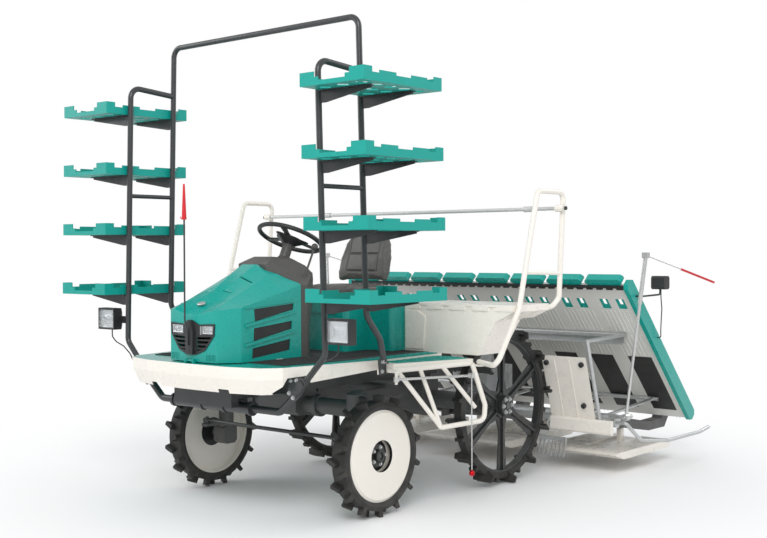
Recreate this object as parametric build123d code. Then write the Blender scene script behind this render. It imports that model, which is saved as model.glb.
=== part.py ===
from build123d import *
import math
import os

# Riding rice transplanter for eight rows, in millimetres.
# +Z is up, the front faces -Y, and +X is the machine's left side.
# All places are first given from the front axle's centre line, at the floor.
# The finished pieces then move back by ORIGIN_Y, so that the origin lies
# on the floor below the middle of the whole machine.

# Clearances
SEAT_GAP = 0.3
RUNNING_FIT = 0.05
OPEN_PIN_GAP = 0.3
CYLINDER_DRIFT = 3.2
MOVING_GAP = 5

# Wheels
FRONT_WHEEL_D = 650
FRONT_TRACK_X = 660
FRONT_TYRE_W = 110
FRONT_COVER_R = 246
FRONT_EYE_R = 84
FRONT_LUGS = 14
LUG_H = 34
WHEELBASE = 1138
REAR_WHEEL_D = 960
REAR_TRACK_X = 687
REAR_RIM_W = 52
REAR_RIM_R = 418
REAR_RIM_T = 14
REAR_PADDLE_W = 160
REAR_PADDLES = 12
AXLE_R = 20

# Steering
KINGPIN_X = 530
KINGPIN_R = 16
AXLE_BEAM_Z = 560
STEER_ARM = 150
STEER_ARM_Z = 395
TIE_PIN_R = 9
COLUMN_TILT = 25
COLUMN_PIN_R = 10
WHEEL_CENTRE = (0, 25, 1497)
STEERING_RIM_R = 185

# Chassis
BEAM_MID_X = 190
BEAM_W = 60
RAIL_LOW_Z = 650
RAIL_HIGH_Z = 740
CHASSIS_FRONT_Y = -640

# Deck and steps
DECK_Z = 838
DECK_T = 8
SKIRT_T = 5
SKIRT_FRONT_H = 138
SKIRT_SIDE_H = 88
SKIRT_REAR_H = 50
DECK_FRONT_Y = -765
DECK_HALF_FRONT = 585
DECK_HALF_REAR = 690
STEP_REACH_FRONT = 110
STEP_REACH_REAR = 260
STEP_REAR_Y = 500
STEP_TUBE = 30
STEP_DROP = 48
REAR_DECK_Y = 546
REAR_DECK_DEPTH = 354
REAR_DECK_TOP = 1122
REAR_DECK_IN_X = 418
REAR_DECK_T = 6
RACK_FOOT_OUT = 55
MAT_T = 4

# Hood
HOOD_BASE_Z = 843
HOOD_FRONT_Y = -712
HOOD_REAR_Y = -150
HOOD_REAR_MID_Y = -280
HOOD_HALF = 255
HOOD_T = 5
HOOD_CREST_Y = -301
HOOD_CREST_Z = 1350
HINGE_Y = -724
HINGE_Z = 850
HINGE_R = 5

# Driver's seat
SEAT_BASE_FRONT_Y = 240
SEAT_BASE_HALF = 225
SEAT_BASE_TOP = 1120
SEAT_HALF = 228
SEAT_FRONT_Y = 325
SEAT_LOW_Z = 1140
SEAT_TOP_Z = 1225

# Seedling racks
RACK_OUT = 83
RACK_LEAN = 0.0292
RACK_REF_Z = 1500
RACK_FRONT_Y = -523
RACK_REAR_Y = -210
RACK_TUBE = 32
HOOP_Z = 2373
BOW_Z = 2633
SHELF_LOW_Z = 1174
SHELF_PITCH = 347
SHELF_COUNT = 4
SHELF_W = 415
SHELF_FRONT_Y = -675
SHELF_REAR_Y = -90
SHELF_RIM_H = 40
SHELF_CORNER_H = 66
SHELF_T = 6

# Guard rails
RAIL_OUT = 245
RAIL_TOP_Z = 1752
RAIL_TUBE = 30
CROSSBAR_D = 22
CROSSBAR_Z = 1660

# Lift linkage
LINK_LENGTH = 560
LINK_SLOPE = 8
LINK_PIN_R = 14
LIFT_PIVOT_BACK = 102
LOWER_PIVOT_Z = 400
UPPER_PIVOT_Z = 680
LOWER_LINK_X = 250
UPPER_LINK_X = 150
LIFT_LOW_DEG = -8
LIFT_HIGH_DEG = 32
CYLINDER_BACK = 77
CYLINDER_Z = 560
CYLINDER_ARM = 200
CYLINDER_PIN_R = 8
CYLINDER_EYE_R = 12
CYLINDER_ROD_R = 14

# Planting unit, with lengths along the machine counted from its beam
BEAM_BACK = 100
BEAM_Z = 330
BEAM_R = 42
BEAM_HALF = 1060
STAGE_HALF_W = 1179
STAGE_RAIL_W = 30
STAGE_TRAVEL = 140
STAGE_TOP_BACK = -68
STAGE_TOP_Z = 1204
STAGE_FOOT_BACK = 814
STAGE_FOOT_Z = 273
STAGE_T = 14
LANES = 8
FENCE_T = 12
FENCE_H = 33
FENCE_FOOT_GAP = 32
GUIDE_R = 14
CASE_XS = (-870, -290, 290, 870)
CASE_W = 76
ROTOR_BACK = 957
ROTOR_Z = 285
ROTOR_SHAFT_R = 16
ROTOR_ARM_X = 80
FLOAT_Z = 95
FLOAT_H = 48
SHIELD_BACK = -235
SHIELD_TOP_Z = 745
SHIELD_LOW_Z = 250
SHIELD_T = 6
POST_X = 985
MARKER_X = 1240
MARKER_BACK = -218
MARKER_Z = 394
MARKER_HUB_R = 22
MARKER_PIN_R = 8


def at(x, y, z):
    return Pos(x, y, z)


def block(x0, x1, y0, y1, z0, z1):
    box = Box(x1 - x0, y1 - y0, z1 - z0)
    return at((x0 + x1) / 2, (y0 + y1) / 2, (z0 + z1) / 2) * box


def rod(start, end, diameter):
    way = Vector(*end) - Vector(*start)
    plane = Plane(origin=start, z_dir=way)
    return plane * Cylinder(diameter / 2, way.length, align=(Align.CENTER, Align.CENTER, Align.MIN))


def bent(points, diameter, bend=60):
    path = FilletPolyline(*points, radius=bend)
    face = Plane(origin=path @ 0, z_dir=path % 0) * Circle(diameter / 2)
    return sweep(face, path=path)


def ring_x(x0, x1, outer, inner, y, z):
    ring = Cylinder(outer, x1 - x0)
    if inner:
        ring = ring - Cylinder(inner, x1 - x0 + 2)
    return at((x0 + x1) / 2, y, z) * Rot(0, 90, 0) * ring


def disc_y(x, z, y0, y1, radius):
    return at(x, (y0 + y1) / 2, z) * Rot(90, 0, 0) * Cylinder(radius, y1 - y0)


def face_of(points):
    return make_face(Polyline(*points, close=True))


def plate_yz(points, x0, x1):
    return extrude(Plane.YZ.offset(x0) * face_of(points), x1 - x0)


def plate_xz(points, y0, y1):
    plane = Plane(origin=(0, y0, 0), x_dir=(1, 0, 0), z_dir=(0, -1, 0))
    return extrude(plane * face_of(points), -(y1 - y0))


def plate_xy(points, z0, z1):
    return extrude(Plane.XY.offset(z0) * face_of(points), z1 - z0)


def mirrored(points):
    return points + [(-x, other) for x, other in reversed(points)]


def flip(shape):
    return mirror(shape, about=Plane.YZ)


def both(shape):
    return Compound(children=[*shape.solids(), *flip(shape).solids()])


def group(shapes):
    return Compound(children=[solid for shape in shapes for solid in shape.solids()])


STEP_OUT_FRONT = DECK_HALF_REAR + STEP_REACH_FRONT
STEP_OUT_REAR = DECK_HALF_REAR + STEP_REACH_REAR
STEP_TUBE_Z = DECK_Z - STEP_DROP
STEP_TOP_Z = STEP_TUBE_Z + 34
RACK_X = DECK_HALF_REAR + RACK_OUT
RACK_FOOT_X = DECK_HALF_REAR + RACK_FOOT_OUT
RAIL_X = STEP_OUT_REAR + RAIL_OUT
FRONT_R = FRONT_WHEEL_D / 2
REAR_R = REAR_WHEEL_D / 2
REAR_SEAT_R = REAR_RIM_R - REAR_RIM_T - SEAT_GAP
REAR_DECK_BACK = REAR_DECK_Y + REAR_DECK_DEPTH
SIDE_PIVOT = (STEP_OUT_FRONT + 30, -25)
SIDE_PIVOT_R = 8


def rack_x(z):
    return RACK_X - RACK_LEAN * (z - RACK_REF_Z)


def step_x(y):
    return STEP_OUT_FRONT + (STEP_OUT_REAR - STEP_OUT_FRONT) * y / STEP_REAR_Y


# Wheels, modelled round their own centre with the axle along Z, then turned to lie along X
def front_tyre():
    carcass_r = FRONT_R - LUG_H
    half = FRONT_TYRE_W / 2
    section = Polyline((FRONT_COVER_R, -half + 12), (FRONT_COVER_R + 22, -half), (carcass_r, -half + 8),
                       (carcass_r, half - 8), (FRONT_COVER_R + 22, half), (FRONT_COVER_R, half - 12), close=True)
    tyre = revolve(Plane.XZ * make_face(section), Axis.Z)
    lug = Rot(24, 0, 0) * Box(LUG_H + 6, 24, half + 4)
    lug = at(carcass_r + LUG_H / 2 - 3.5, 0, half / 2 - 2) * lug
    lug = lug & Box(2 * FRONT_WHEEL_D, FRONT_WHEEL_D, FRONT_TYRE_W)
    other = Rot(0, 0, 180 / FRONT_LUGS) * mirror(lug, about=Plane.XY)
    turns = [360 / FRONT_LUGS * step for step in range(FRONT_LUGS)]
    tyre = tyre + [Rot(0, 0, turn) * piece for turn in turns for piece in (lug, other)]
    return Rot(0, 90, 0) * tyre


def front_disc():
    half = FRONT_TYRE_W / 2
    rim_r = FRONT_COVER_R - SEAT_GAP
    rim = Cylinder(rim_r, FRONT_TYRE_W - 26) - Cylinder(rim_r - 6, FRONT_TYRE_W)
    profile = Polyline((FRONT_EYE_R, half - 24), (FRONT_EYE_R, half - 8), (FRONT_EYE_R + 6, half - 4),
                       (rim_r - 14, half - 4), (rim_r, half - 14), (rim_r, half - 18), (rim_r - 16, half - 9),
                       (FRONT_EYE_R + 8, half - 9), (FRONT_EYE_R + 4, half - 24), close=True)
    cover = revolve(Plane.XZ * make_face(profile), Axis.Z)
    web = Cylinder(rim_r - 4, 8) - Cylinder(AXLE_R, 9)
    hub = Cylinder(60, 44) - Cylinder(AXLE_R, 50)
    nose = at(0, 0, 28) * (Cylinder(34, 24) - Cylinder(AXLE_R, 26))
    return Rot(0, 90, 0) * (rim + web + hub + nose + cover)


def rear_tyre():
    rim = Cylinder(REAR_RIM_R + 22, REAR_RIM_W) - Cylinder(REAR_RIM_R - REAR_RIM_T, REAR_RIM_W + 2)
    root = REAR_RIM_R - 6
    half = REAR_PADDLE_W / 2
    blade = [(root, -30), (REAR_R - 40, -half), (REAR_R - 4, -half + 14), (REAR_R - 4, half - 14),
             (REAR_R - 40, half), (root, 30)]
    paddle = extrude(Plane.XZ * face_of(blade), 7, both=True)
    toe = at(REAR_R - 16, 12, 0) * Box(26, 30, REAR_PADDLE_W - 60)
    tooth = at(REAR_RIM_R + 28, 0, 0) * Rot(0, 0, -24) * Box(34, 22, REAR_RIM_W)
    pitch = 360 / REAR_PADDLES
    pieces = [Rot(0, 0, pitch * step + 6) * piece for step in range(REAR_PADDLES) for piece in (paddle, toe)]
    pieces += [Rot(0, 0, pitch * step + pitch * share) * tooth for step in range(REAR_PADDLES) for share in (0.36, 0.7)]
    tread = Cylinder(REAR_R, REAR_PADDLE_W)
    tyre = rim + [piece & tread for piece in pieces]
    return Rot(0, 90, 0) * tyre


def rear_spider():
    hub = Cylinder(62, 96) + Cylinder(78, 30)
    outer = REAR_SEAT_R
    blade = [(60, -58), (160, -26), (outer, -44), (outer, 44), (160, 26), (60, 58)]
    spoke = at(0, 0, -6) * extrude(face_of(blade), 12)
    rib = at((60 + outer) / 2, 0, 0) * Box(outer - 60, 14, 38)
    pieces = [Rot(0, 0, 60 * step) * piece for step in range(6) for piece in (spoke, rib)]
    ring = Cylinder(outer, REAR_RIM_W - 8) - Cylinder(outer - 12, REAR_RIM_W)
    spider = hub + ring + pieces
    spider = spider & (Cylinder(outer, 110) - Cylinder(AXLE_R, 112))
    return Rot(0, 90, 0) * spider


# Front axle, knuckles and steering rods
def front_axle():
    beam = ring_x(-KINGPIN_X + 40, KINGPIN_X - 40, 46, 0, 0, AXLE_BEAM_Z)
    centre = block(-150, 150, -90, 90, AXLE_BEAM_Z - 60, AXLE_BEAM_Z + 80)
    centre = chamfer(centre.edges().filter_by(Axis.X), 24)
    pieces = []
    for side in (-1, 1):
        pieces.append(at(side * KINGPIN_X, 0, AXLE_BEAM_Z + 20) * Cylinder(58, 130))
        pieces.append(at(side * KINGPIN_X, 0, AXLE_BEAM_Z + 92) * Cone(58, 26, 20))
        pieces.append(at(side * KINGPIN_X, 0, AXLE_BEAM_Z - 80) * Cylinder(KINGPIN_R, 100))
        pieces.append(ring_x(side * 250 - 16, side * 250 + 16, 62, 0, 0, AXLE_BEAM_Z))
    return beam + centre + pieces


def knuckle():
    case = at(KINGPIN_X, 0, STEER_ARM_Z + 10) * Cylinder(44, 210)
    skirt = at(KINGPIN_X, 0, STEER_ARM_Z + 96) * Cylinder(52, 24)
    foot = block(KINGPIN_X - 40, KINGPIN_X + 58, -50, 50, FRONT_R - 55, FRONT_R + 55)
    foot = chamfer(foot.edges().filter_by(Axis.X), 18)
    stub = ring_x(KINGPIN_X + 50, FRONT_TRACK_X + 30, AXLE_R - RUNNING_FIT, 0, 0, FRONT_R)
    arm = block(KINGPIN_X - 22, KINGPIN_X + 22, -STEER_ARM - 24, -30, STEER_ARM_Z - 9, STEER_ARM_Z + 9)
    pin = at(KINGPIN_X, -STEER_ARM, STEER_ARM_Z + 24) * Cylinder(TIE_PIN_R, 50)
    bore = at(KINGPIN_X, 0, AXLE_BEAM_Z - 80) * Cylinder(KINGPIN_R + RUNNING_FIT, 110)
    return case + skirt + foot + stub + arm + pin - bore


def tie_rod():
    z = STEER_ARM_Z + 26
    bar = rod((-KINGPIN_X + 22, -STEER_ARM, z), (KINGPIN_X - 22, -STEER_ARM, z), 22)
    eyes = [at(side * KINGPIN_X, -STEER_ARM, z) * Cylinder(24, 24) for side in (-1, 1)]
    holes = [at(side * KINGPIN_X, -STEER_ARM, z) * Cylinder(TIE_PIN_R + RUNNING_FIT, 40) for side in (-1, 1)]
    return bar + eyes - holes


# Chassis
GEARBOX_BACK = 330
DECK_UNDER = DECK_Z - DECK_T


def chassis_frame():
    half = BEAM_W / 2
    end = WHEELBASE - 38
    rails = [block(side * BEAM_MID_X - half, side * BEAM_MID_X + half, CHASSIS_FRONT_Y + 40, end,
                   RAIL_LOW_Z, RAIL_HIGH_Z) for side in (-1, 1)]
    crosses = [block(-BEAM_MID_X, BEAM_MID_X, y - half, y + half, RAIL_LOW_Z + 10, RAIL_HIGH_Z - 10)
               for y in (300, end - 300, end - 50)]
    front = block(-BEAM_MID_X - 40, BEAM_MID_X + 40, CHASSIS_FRONT_Y, CHASSIS_FRONT_Y + 50,
                  RAIL_LOW_Z - 40, DECK_UNDER - SEAT_GAP)
    posts = []
    for side in (-1, 1):
        x = side * BEAM_MID_X
        posts.append(block(x - 40, x + 40, 185, 215, RAIL_HIGH_Z - 1, DECK_UNDER - SEAT_GAP))
        posts.append(block(x - 40, x + 40, REAR_DECK_Y + 29, REAR_DECK_Y + 59, RAIL_HIGH_Z - 1, DECK_Z - SEAT_GAP))
    return rails[0] + rails[1:] + crosses + front + posts


def gearbox():
    top = RAIL_LOW_Z + 10 - SEAT_GAP
    case = block(-150, 150, 90 + SEAT_GAP, GEARBOX_BACK, 480, top)
    case = chamfer(case.edges().filter_by(Axis.Y).sort_by(Axis.Z)[:2], 30)
    tube = block(-110, 110, GEARBOX_BACK - 1, WHEELBASE - 120 - SEAT_GAP, 500, 600)
    return case + chamfer(tube.edges().filter_by(Axis.Y), 22)


LIFT_PIVOT_Y = WHEELBASE + LIFT_PIVOT_BACK
CYLINDER_Y = WHEELBASE + CYLINDER_BACK


def rear_axle():
    tube = ring_x(-REAR_TRACK_X + 127, REAR_TRACK_X - 127, 55, 0, WHEELBASE, REAR_R)
    ends = [ring_x(side * 500 - 30, side * 500 + 30, 74, 0, WHEELBASE, REAR_R) for side in (-1, 1)]
    centre = block(-170, 170, WHEELBASE - 120, WHEELBASE + 40, REAR_R - 100, RAIL_LOW_Z - SEAT_GAP)
    centre = chamfer(centre.edges().filter_by(Axis.X).sort_by(Axis.Z)[:2], 34)
    flange_x = BEAM_MID_X + 35
    flange = block(-flange_x, flange_x, WHEELBASE - 108, WHEELBASE - 8, RAIL_LOW_Z - 30, RAIL_LOW_Z - SEAT_GAP)
    reach = REAR_TRACK_X + 55
    shafts = ring_x(-reach, reach, AXLE_R - RUNNING_FIT, 0, WHEELBASE, REAR_R)
    pins = ring_x(-LOWER_LINK_X - 22, LOWER_LINK_X + 22, LINK_PIN_R, 0, LIFT_PIVOT_Y, LOWER_PIVOT_Z)
    upper = ring_x(-UPPER_LINK_X - 22, UPPER_LINK_X + 22, LINK_PIN_R, 0, LIFT_PIVOT_Y, UPPER_PIVOT_Z)
    eye = ring_x(-42, 42, CYLINDER_PIN_R, 0, CYLINDER_Y, CYLINDER_Z)
    ears = []
    for side in (-1, 1):
        for x, low, high, end in ((LOWER_LINK_X - 19, LOWER_PIVOT_Z - 28, 500, LIFT_PIVOT_Y + 22),
                                  (UPPER_LINK_X + 19, 600, UPPER_PIVOT_Z + 28, LIFT_PIVOT_Y + 22),
                                  (35, CYLINDER_Z - 20, CYLINDER_Z + 20, CYLINDER_Y + 17)):
            ears.append(block(side * x - 5, side * x + 5, WHEELBASE, end, low, high))
    return tube + ends + centre + flange + shafts + pins + upper + eye + ears


def engine():
    half = BEAM_MID_X - 25
    low = block(-half, half, -560, -230, RAIL_HIGH_Z + SEAT_GAP, 930)
    head = block(-half + 45, half - 45, -520, -270, 929, 1010)
    return chamfer(low.edges().filter_by(Axis.Z), 20) + head


# Deck, skirt and floor
def half_deck_points(inset):
    front = DECK_FRONT_Y + inset
    half_front = DECK_HALF_FRONT - inset
    half_rear = DECK_HALF_REAR - inset
    rear = REAR_DECK_Y - min(inset, SKIRT_T)
    return [(0, front), (half_front * 0.55, front + 10), (half_front * 0.88, front + 62),
            (half_front, front + 150), (half_rear, 0), (half_rear, rear), (0, rear)]


def deck():
    half = plate_xy(half_deck_points(SKIRT_T + SEAT_GAP), DECK_UNDER, DECK_Z)
    plate = half + flip(half)
    well = block(-225, 225, CHASSIS_FRONT_Y + 55, -175, DECK_UNDER - 10, DECK_Z + 10)
    ears = [block(side * 33 - 3, side * 33 + 3, HINGE_Y - 8, HINGE_Y + 8, DECK_Z - 1, HINGE_Z + 8) for side in (-1, 1)]
    pin = ring_x(-36, 36, HINGE_R, 0, HINGE_Y, HINGE_Z)
    return plate - well + ears + pin


def skirt_form(inset):
    # height below the deck's top, set in from the deck's outline
    table = [(0, 0), (2 * DECK_T, 0), (60, 4), (SKIRT_FRONT_H, 30)]
    faces = [Plane.XY.offset(DECK_Z - drop) * face_of(half_deck_points(inset + lean)) for drop, lean in table]
    return loft(faces, ruled=True)


def front_skirt():
    half = skirt_form(0) - skirt_form(SKIRT_T)
    half = half - block(-10, 900, REAR_DECK_Y - 2 * SKIRT_T, REAR_DECK_Y + 10, 600, DECK_Z - 12)
    low = DECK_Z - SKIRT_FRONT_H - 1
    side_cut = [(-430, low), (-430, DECK_Z - SKIRT_SIDE_H), (0, DECK_Z - SKIRT_REAR_H),
                (REAR_DECK_Y + 5, DECK_Z - SKIRT_REAR_H), (REAR_DECK_Y + 5, low)]
    half = half - plate_yz(side_cut, 400, 900)
    notch = [(-640, low), (-600, 740), (-585, 783), (-450, 790), (-429, 750), (-429, low)]
    half = half - plate_yz(notch, 520, 900)
    clip = block(230, 310, DECK_FRONT_Y - 10, DECK_FRONT_Y + 60, low, low + 20)
    half = half - clip
    return half + flip(half)


GRIP_T = 4


def floor_mats():
    inner = HOOD_HALF + 2 * MOVING_GAP
    outer = [(inner, -540), (520, -540), (598, 0), (602, REAR_DECK_Y - 7), (REAR_DECK_IN_X, REAR_DECK_Y - 7)]
    base = [(REAR_DECK_IN_X, SEAT_WING_Y - 7), (SEAT_BASE_HALF + 7, SEAT_WING_Y - 7),
            (SEAT_BASE_HALF + 7, SEAT_BASE_FRONT_Y - 7), (0, SEAT_BASE_FRONT_Y - 7), (0, DASH_LOW_REAR_Y + 7),
            (inner, DASH_LOW_REAR_Y + 7)]
    half = plate_xy(outer + base, DECK_Z + SEAT_GAP, DECK_Z + SEAT_GAP + MAT_T)
    return half + flip(half)


def step_grips():
    z = DECK_Z + SEAT_GAP
    strip = plate_xy([(592, -330), (638, -330), (DECK_HALF_REAR - 12, 0), (DECK_HALF_REAR - 12, STEP_REAR_Y + 20),
                      (612, STEP_REAR_Y + 20), (606, 0)], z, z + GRIP_T)
    z = STEP_TOP_Z + SEAT_GAP
    plate = plate_xy([(DECK_HALF_REAR + 12, 46), (step_x(46) - 34, 46), (step_x(STEP_REAR_Y) - 34, STEP_REAR_Y - 16),
                      (DECK_HALF_REAR + 12, STEP_REAR_Y - 16)], z, z + GRIP_T)
    return group([strip, plate])


def step_frame():
    z = STEP_TUBE_Z
    inner = DECK_HALF_REAR + 12
    tube = bent([(inner, 0, z), (step_x(0), 0, z), (step_x(STEP_REAR_Y), STEP_REAR_Y, z + 12),
                 (inner, STEP_REAR_Y + 12, z + 12)], STEP_TUBE, 40)
    plate = plate_xy([(DECK_HALF_REAR + SEAT_GAP, -8), (step_x(0) - 4, -8), (step_x(STEP_REAR_Y) - 6, STEP_REAR_Y),
                      (DECK_HALF_REAR + SEAT_GAP, STEP_REAR_Y)], z + 6, STEP_TOP_Z)

    def p(y, height):
        return (step_x(y), y, height)
    heel = z - 328
    legs = [rod(p(12, z), p(285, heel), 26), rod(p(154, z), p(285, heel), 24), rod(p(298, z), p(506, heel + 94), 24),
            bent([p(285, heel), p(566, heel + 16), p(573, heel + 100), p(488, z + 8)], 28, 40)]
    lug_x = RACK_FOOT_X - SEAT_GAP
    post_lug = block(lug_x - 8, lug_x, -70, 20, z - 20, z + 10)
    rail_lug = block(STEP_OUT_REAR - 25, STEP_OUT_REAR + 55, 488, 528, z - 6, z + 2)
    x, y = SIDE_PIVOT
    marker_lug = block(x - 40, x + 12, y - 13, y + 19, z - 8, z - 2)
    marker_pin = at(x, y, z - 38) * Cylinder(SIDE_PIVOT_R, 64)
    return tube + plate + legs + post_lug + rail_lug + marker_lug + marker_pin


# Hood over the engine
HOOD_FOLD_Y = -590
HOOD_CORNER_X = 185
HOOD_CORNER_Y = 14
ROOF_CROWN_X = 158
ROOF_RIDGE_X = 51


def hood_form(inset):
    nose = HOOD_FRONT_Y + inset
    half = HOOD_HALF - inset
    right = [(0, nose), (HOOD_CORNER_X - inset * 0.5, nose + HOOD_CORNER_Y), (half, HOOD_FOLD_Y + inset * 0.4),
             (half, HOOD_REAR_Y + 40)]
    plan = mirrored(right[1:])
    walls = extrude(Plane.XY.offset(HOOD_BASE_Z) * face_of([right[0]] + plan), 620)
    # station y, shoulder z, crown z, ridge z
    stations = [(HOOD_FRONT_Y - 30, 1088, 1096, 1068),
                (HOOD_CREST_Y, 1180, 1292, HOOD_CREST_Z),
                (HOOD_REAR_Y + 60, 1240, 1306, HOOD_CREST_Z - 6)]
    sections = []
    for y, shoulder, crown, ridge in stations:
        side = [(ROOF_RIDGE_X, ridge - inset), (ROOF_CROWN_X, crown - inset), (half + 20, shoulder - inset),
                (half + 20, HOOD_BASE_Z - 30)]
        plane = Plane(origin=(0, y, 0), x_dir=(1, 0, 0), z_dir=(0, -1, 0))
        sections.append(plane * face_of(mirrored(side)))
    return walls & loft(sections, ruled=True)


def hood_rear_line(gap):
    return [(HOOD_HALF + 20, HOOD_REAR_Y + gap), (HOOD_HALF - 15, HOOD_REAR_Y + gap), (110, HOOD_REAR_MID_Y + gap)]


# Grille outline from its top at the middle, right half: x, z
GRILLE_RIGHT = [(14, 1062), (60, 1040), (176, 1046), (172, 985), (104, 905), (38, 880)]
LAMP_WINDOW = [(66, 1034), (164, 1038), (160, 990), (66, 986)]
SLAT_WINDOW = [(44, 974), (154, 978), (98, 912), (44, 900)]
SIDE_SLOTS = [
    [(-500, 1117), (-206, 1138), (-211, 1104), (-494, 1052)],
    [(-500, 1017), (-218, 1044), (-223, 1000), (-505, 948)],
    [(-511, 912), (-232, 946), (-240, 886), (-516, 858)],
]
TOP_SLOTS = [(42, 138, -404), (32, 104, -518)]


def grown(points, amount):
    return offset(face_of(points), amount, kind=Kind.INTERSECTION)


def through_nose(points, amount):
    plane = Plane(origin=(0, HOOD_FRONT_Y - 60, 0), x_dir=(1, 0, 0), z_dir=(0, -1, 0))
    return extrude(plane * grown(points, amount), -200)


def hood():
    shell = hood_form(0) - at(0, 0, -3) * hood_form(HOOD_T)
    rear = mirrored(hood_rear_line(0))
    rear = [(HOOD_HALF + 20, 100)] + rear + [(-HOOD_HALF - 20, 100)]
    shell = shell - plate_xy(rear, HOOD_BASE_Z - 20, 1500)
    window = through_nose(LAMP_WINDOW, 1.5) + through_nose(SLAT_WINDOW, 1.5)
    slots = [plate_yz(points, HOOD_HALF - 20, HOOD_HALF + 20) for points in SIDE_SLOTS]
    for x0, x1, y in TOP_SLOTS:
        slots.append(block(x0, x1, y - 6, y + 6, 1100, 1400))
    vents = [block(x - 2, x + 2, HOOD_FRONT_Y - 20, HOOD_FRONT_Y + 60, 852, 884) for x in range(112, 176, 10)]
    cuts = slots + vents
    shell = shell - window - flip(window) - cuts - [flip(cut) for cut in cuts]
    ribs = [plate_yz([(-566, low), (-196, high), (-196, high - 12), (-566, low - 18)], HOOD_HALF - 2, HOOD_HALF + 6)
            for low, high in ((1042, 1096), (940, 992), (1140, 1160))]
    shell = shell + ribs + [flip(rib) for rib in ribs]
    for side in (-1, 1):
        x = side * 22
        lug = block(x - 4, x + 4, HINGE_Y - 8, HOOD_FRONT_Y + 6, HOOD_BASE_Z, HINGE_Z + 9)
        shell = shell + (lug - ring_x(x - 8, x + 8, HINGE_R + RUNNING_FIT, 0, HINGE_Y, HINGE_Z))
    return shell


def hood_vents():
    panel = plate_yz([(-530, 850), (-196, 852), (-196, 1146), (-530, 1130)], HOOD_HALF - HOOD_T - SEAT_GAP - 4,
                     HOOD_HALF - HOOD_T - SEAT_GAP)
    return both(panel)


def grille():
    skin = hood_form(-5) - hood_form(-SEAT_GAP)
    plane = Plane(origin=(0, HOOD_FRONT_Y - 60, 0), x_dir=(1, 0, 0), z_dir=(0, -1, 0))
    face = extrude(plane * face_of(mirrored(GRILLE_RIGHT)), -200)
    windows = through_nose(LAMP_WINDOW, 0) + through_nose(SLAT_WINDOW, 0)
    body = (skin & face) - windows - flip(windows)
    spine = extrude(plane * face_of(mirrored([(14, 1062), (32, 1000), (28, 884)])), -200)
    body = body + (spine & (hood_form(-20) - hood_form(-SEAT_GAP)))
    depth = hood_form(-4) - hood_form(9)
    bars = [plate_xz([(30, z), (165, z + 4), (165, z - 6), (30, z - 8)], HOOD_FRONT_Y - 60, HOOD_FRONT_Y + 140)
            for z in (962, 940, 918)]
    for bar in bars:
        slat = bar & through_nose(SLAT_WINDOW, 0) & depth
        body = body + slat + flip(slat)
    return body


def headlamps():
    lens = through_nose(LAMP_WINDOW, -0.4) & (hood_form(-3) - hood_form(10))
    return both(lens)


POLE_TIP_Z = 1590
POLE_D = 9


def pole_y():
    return HOOD_FRONT_Y - 20 - SEAT_GAP - POLE_D / 2


def marker_pole():
    foot = pole_y()
    return bent([(0, foot, 930), (0, foot - 3, 1010), (0, foot - 18, 1060), (0, foot - 18, POLE_TIP_Z)], POLE_D, 30)


def marker_tip():
    y = pole_y() - 18
    cone = at(0, y, POLE_TIP_Z - 1) * Cone(13, 5, 186, align=(Align.CENTER, Align.CENTER, Align.MIN))
    hook = bent([(0, y - 4, POLE_TIP_Z + 12), (-14, y - 6, POLE_TIP_Z - 4), (-22, y - 6, POLE_TIP_Z + 14)], 5, 8)
    return cone + hook


# Driver's place
DASH_LOW_REAR_Y = -46
DASH_TOP_Z = 1392


def dash():
    front = HOOD_REAR_Y + MOVING_GAP
    mid = HOOD_REAR_MID_Y + MOVING_GAP
    side = [(front, DECK_Z + SEAT_GAP), (front, 1176), (mid - 2, 1300), (mid - 2, 1350), (-190, DASH_TOP_Z),
            (-60, 1384), (16, 1340), (44, 1262), (20, 1110), (DASH_LOW_REAR_Y, 1010), (DASH_LOW_REAR_Y, DECK_Z + SEAT_GAP)]
    body = plate_yz(side, -HOOD_HALF, HOOD_HALF)
    plan = hood_rear_line(MOVING_GAP)[1:] + [(-110, mid), (-HOOD_HALF + 15, front)]
    plan = [(HOOD_HALF - 4, front)] + plan + [(-HOOD_HALF + 4, front), (-HOOD_HALF + 4, -95), (-150, 60), (150, 60),
                                             (HOOD_HALF - 4, -95)]
    ends = [(HOOD_HALF, DECK_Z), (HOOD_HALF, 1232), (ROOF_CROWN_X, 1308), (90, 1378), (60, 1400)]
    body = body & plate_xy(plan, DECK_Z, 1450) & plate_xz(mirrored(ends), -400, 200)
    body = body - block(-90, 90, -20, 60, 1020, 1180)
    axis = column_axis()
    top = Vector(*WHEEL_CENTRE) - axis * 44
    low = Vector(*WHEEL_CENTRE) - axis * 190
    pin_top = Vector(*WHEEL_CENTRE) - axis * 14
    boot = Plane(origin=tuple(low + axis * 20), z_dir=axis) * Cone(66, 34, 90)
    return body + rod(tuple(low), tuple(top), 60) + rod(tuple(low), tuple(pin_top), 2 * COLUMN_PIN_R) + boot


def column_axis():
    tilt = math.radians(COLUMN_TILT)
    return Vector(0, math.sin(tilt), math.cos(tilt))


def steering_wheel():
    plane = Plane(origin=WHEEL_CENTRE, z_dir=column_axis())
    rim = Torus(STEERING_RIM_R, 13)
    hub = at(0, 0, -22) * Cylinder(40, 40) + at(0, 0, -1) * Cone(40, 26, 10)
    hub = hub - at(0, 0, -27) * Cylinder(COLUMN_PIN_R + RUNNING_FIT, 32)
    blade = [(24, -20), (90, -13), (STEERING_RIM_R, -18), (STEERING_RIM_R, 18), (90, 13), (24, 20)]
    spoke = at(0, 0, -11) * extrude(face_of(blade), 9)
    spokes = [Rot(0, 0, angle) * spoke for angle in (90, 210, 330)]
    return plane * (rim + hub + spokes)


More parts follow.
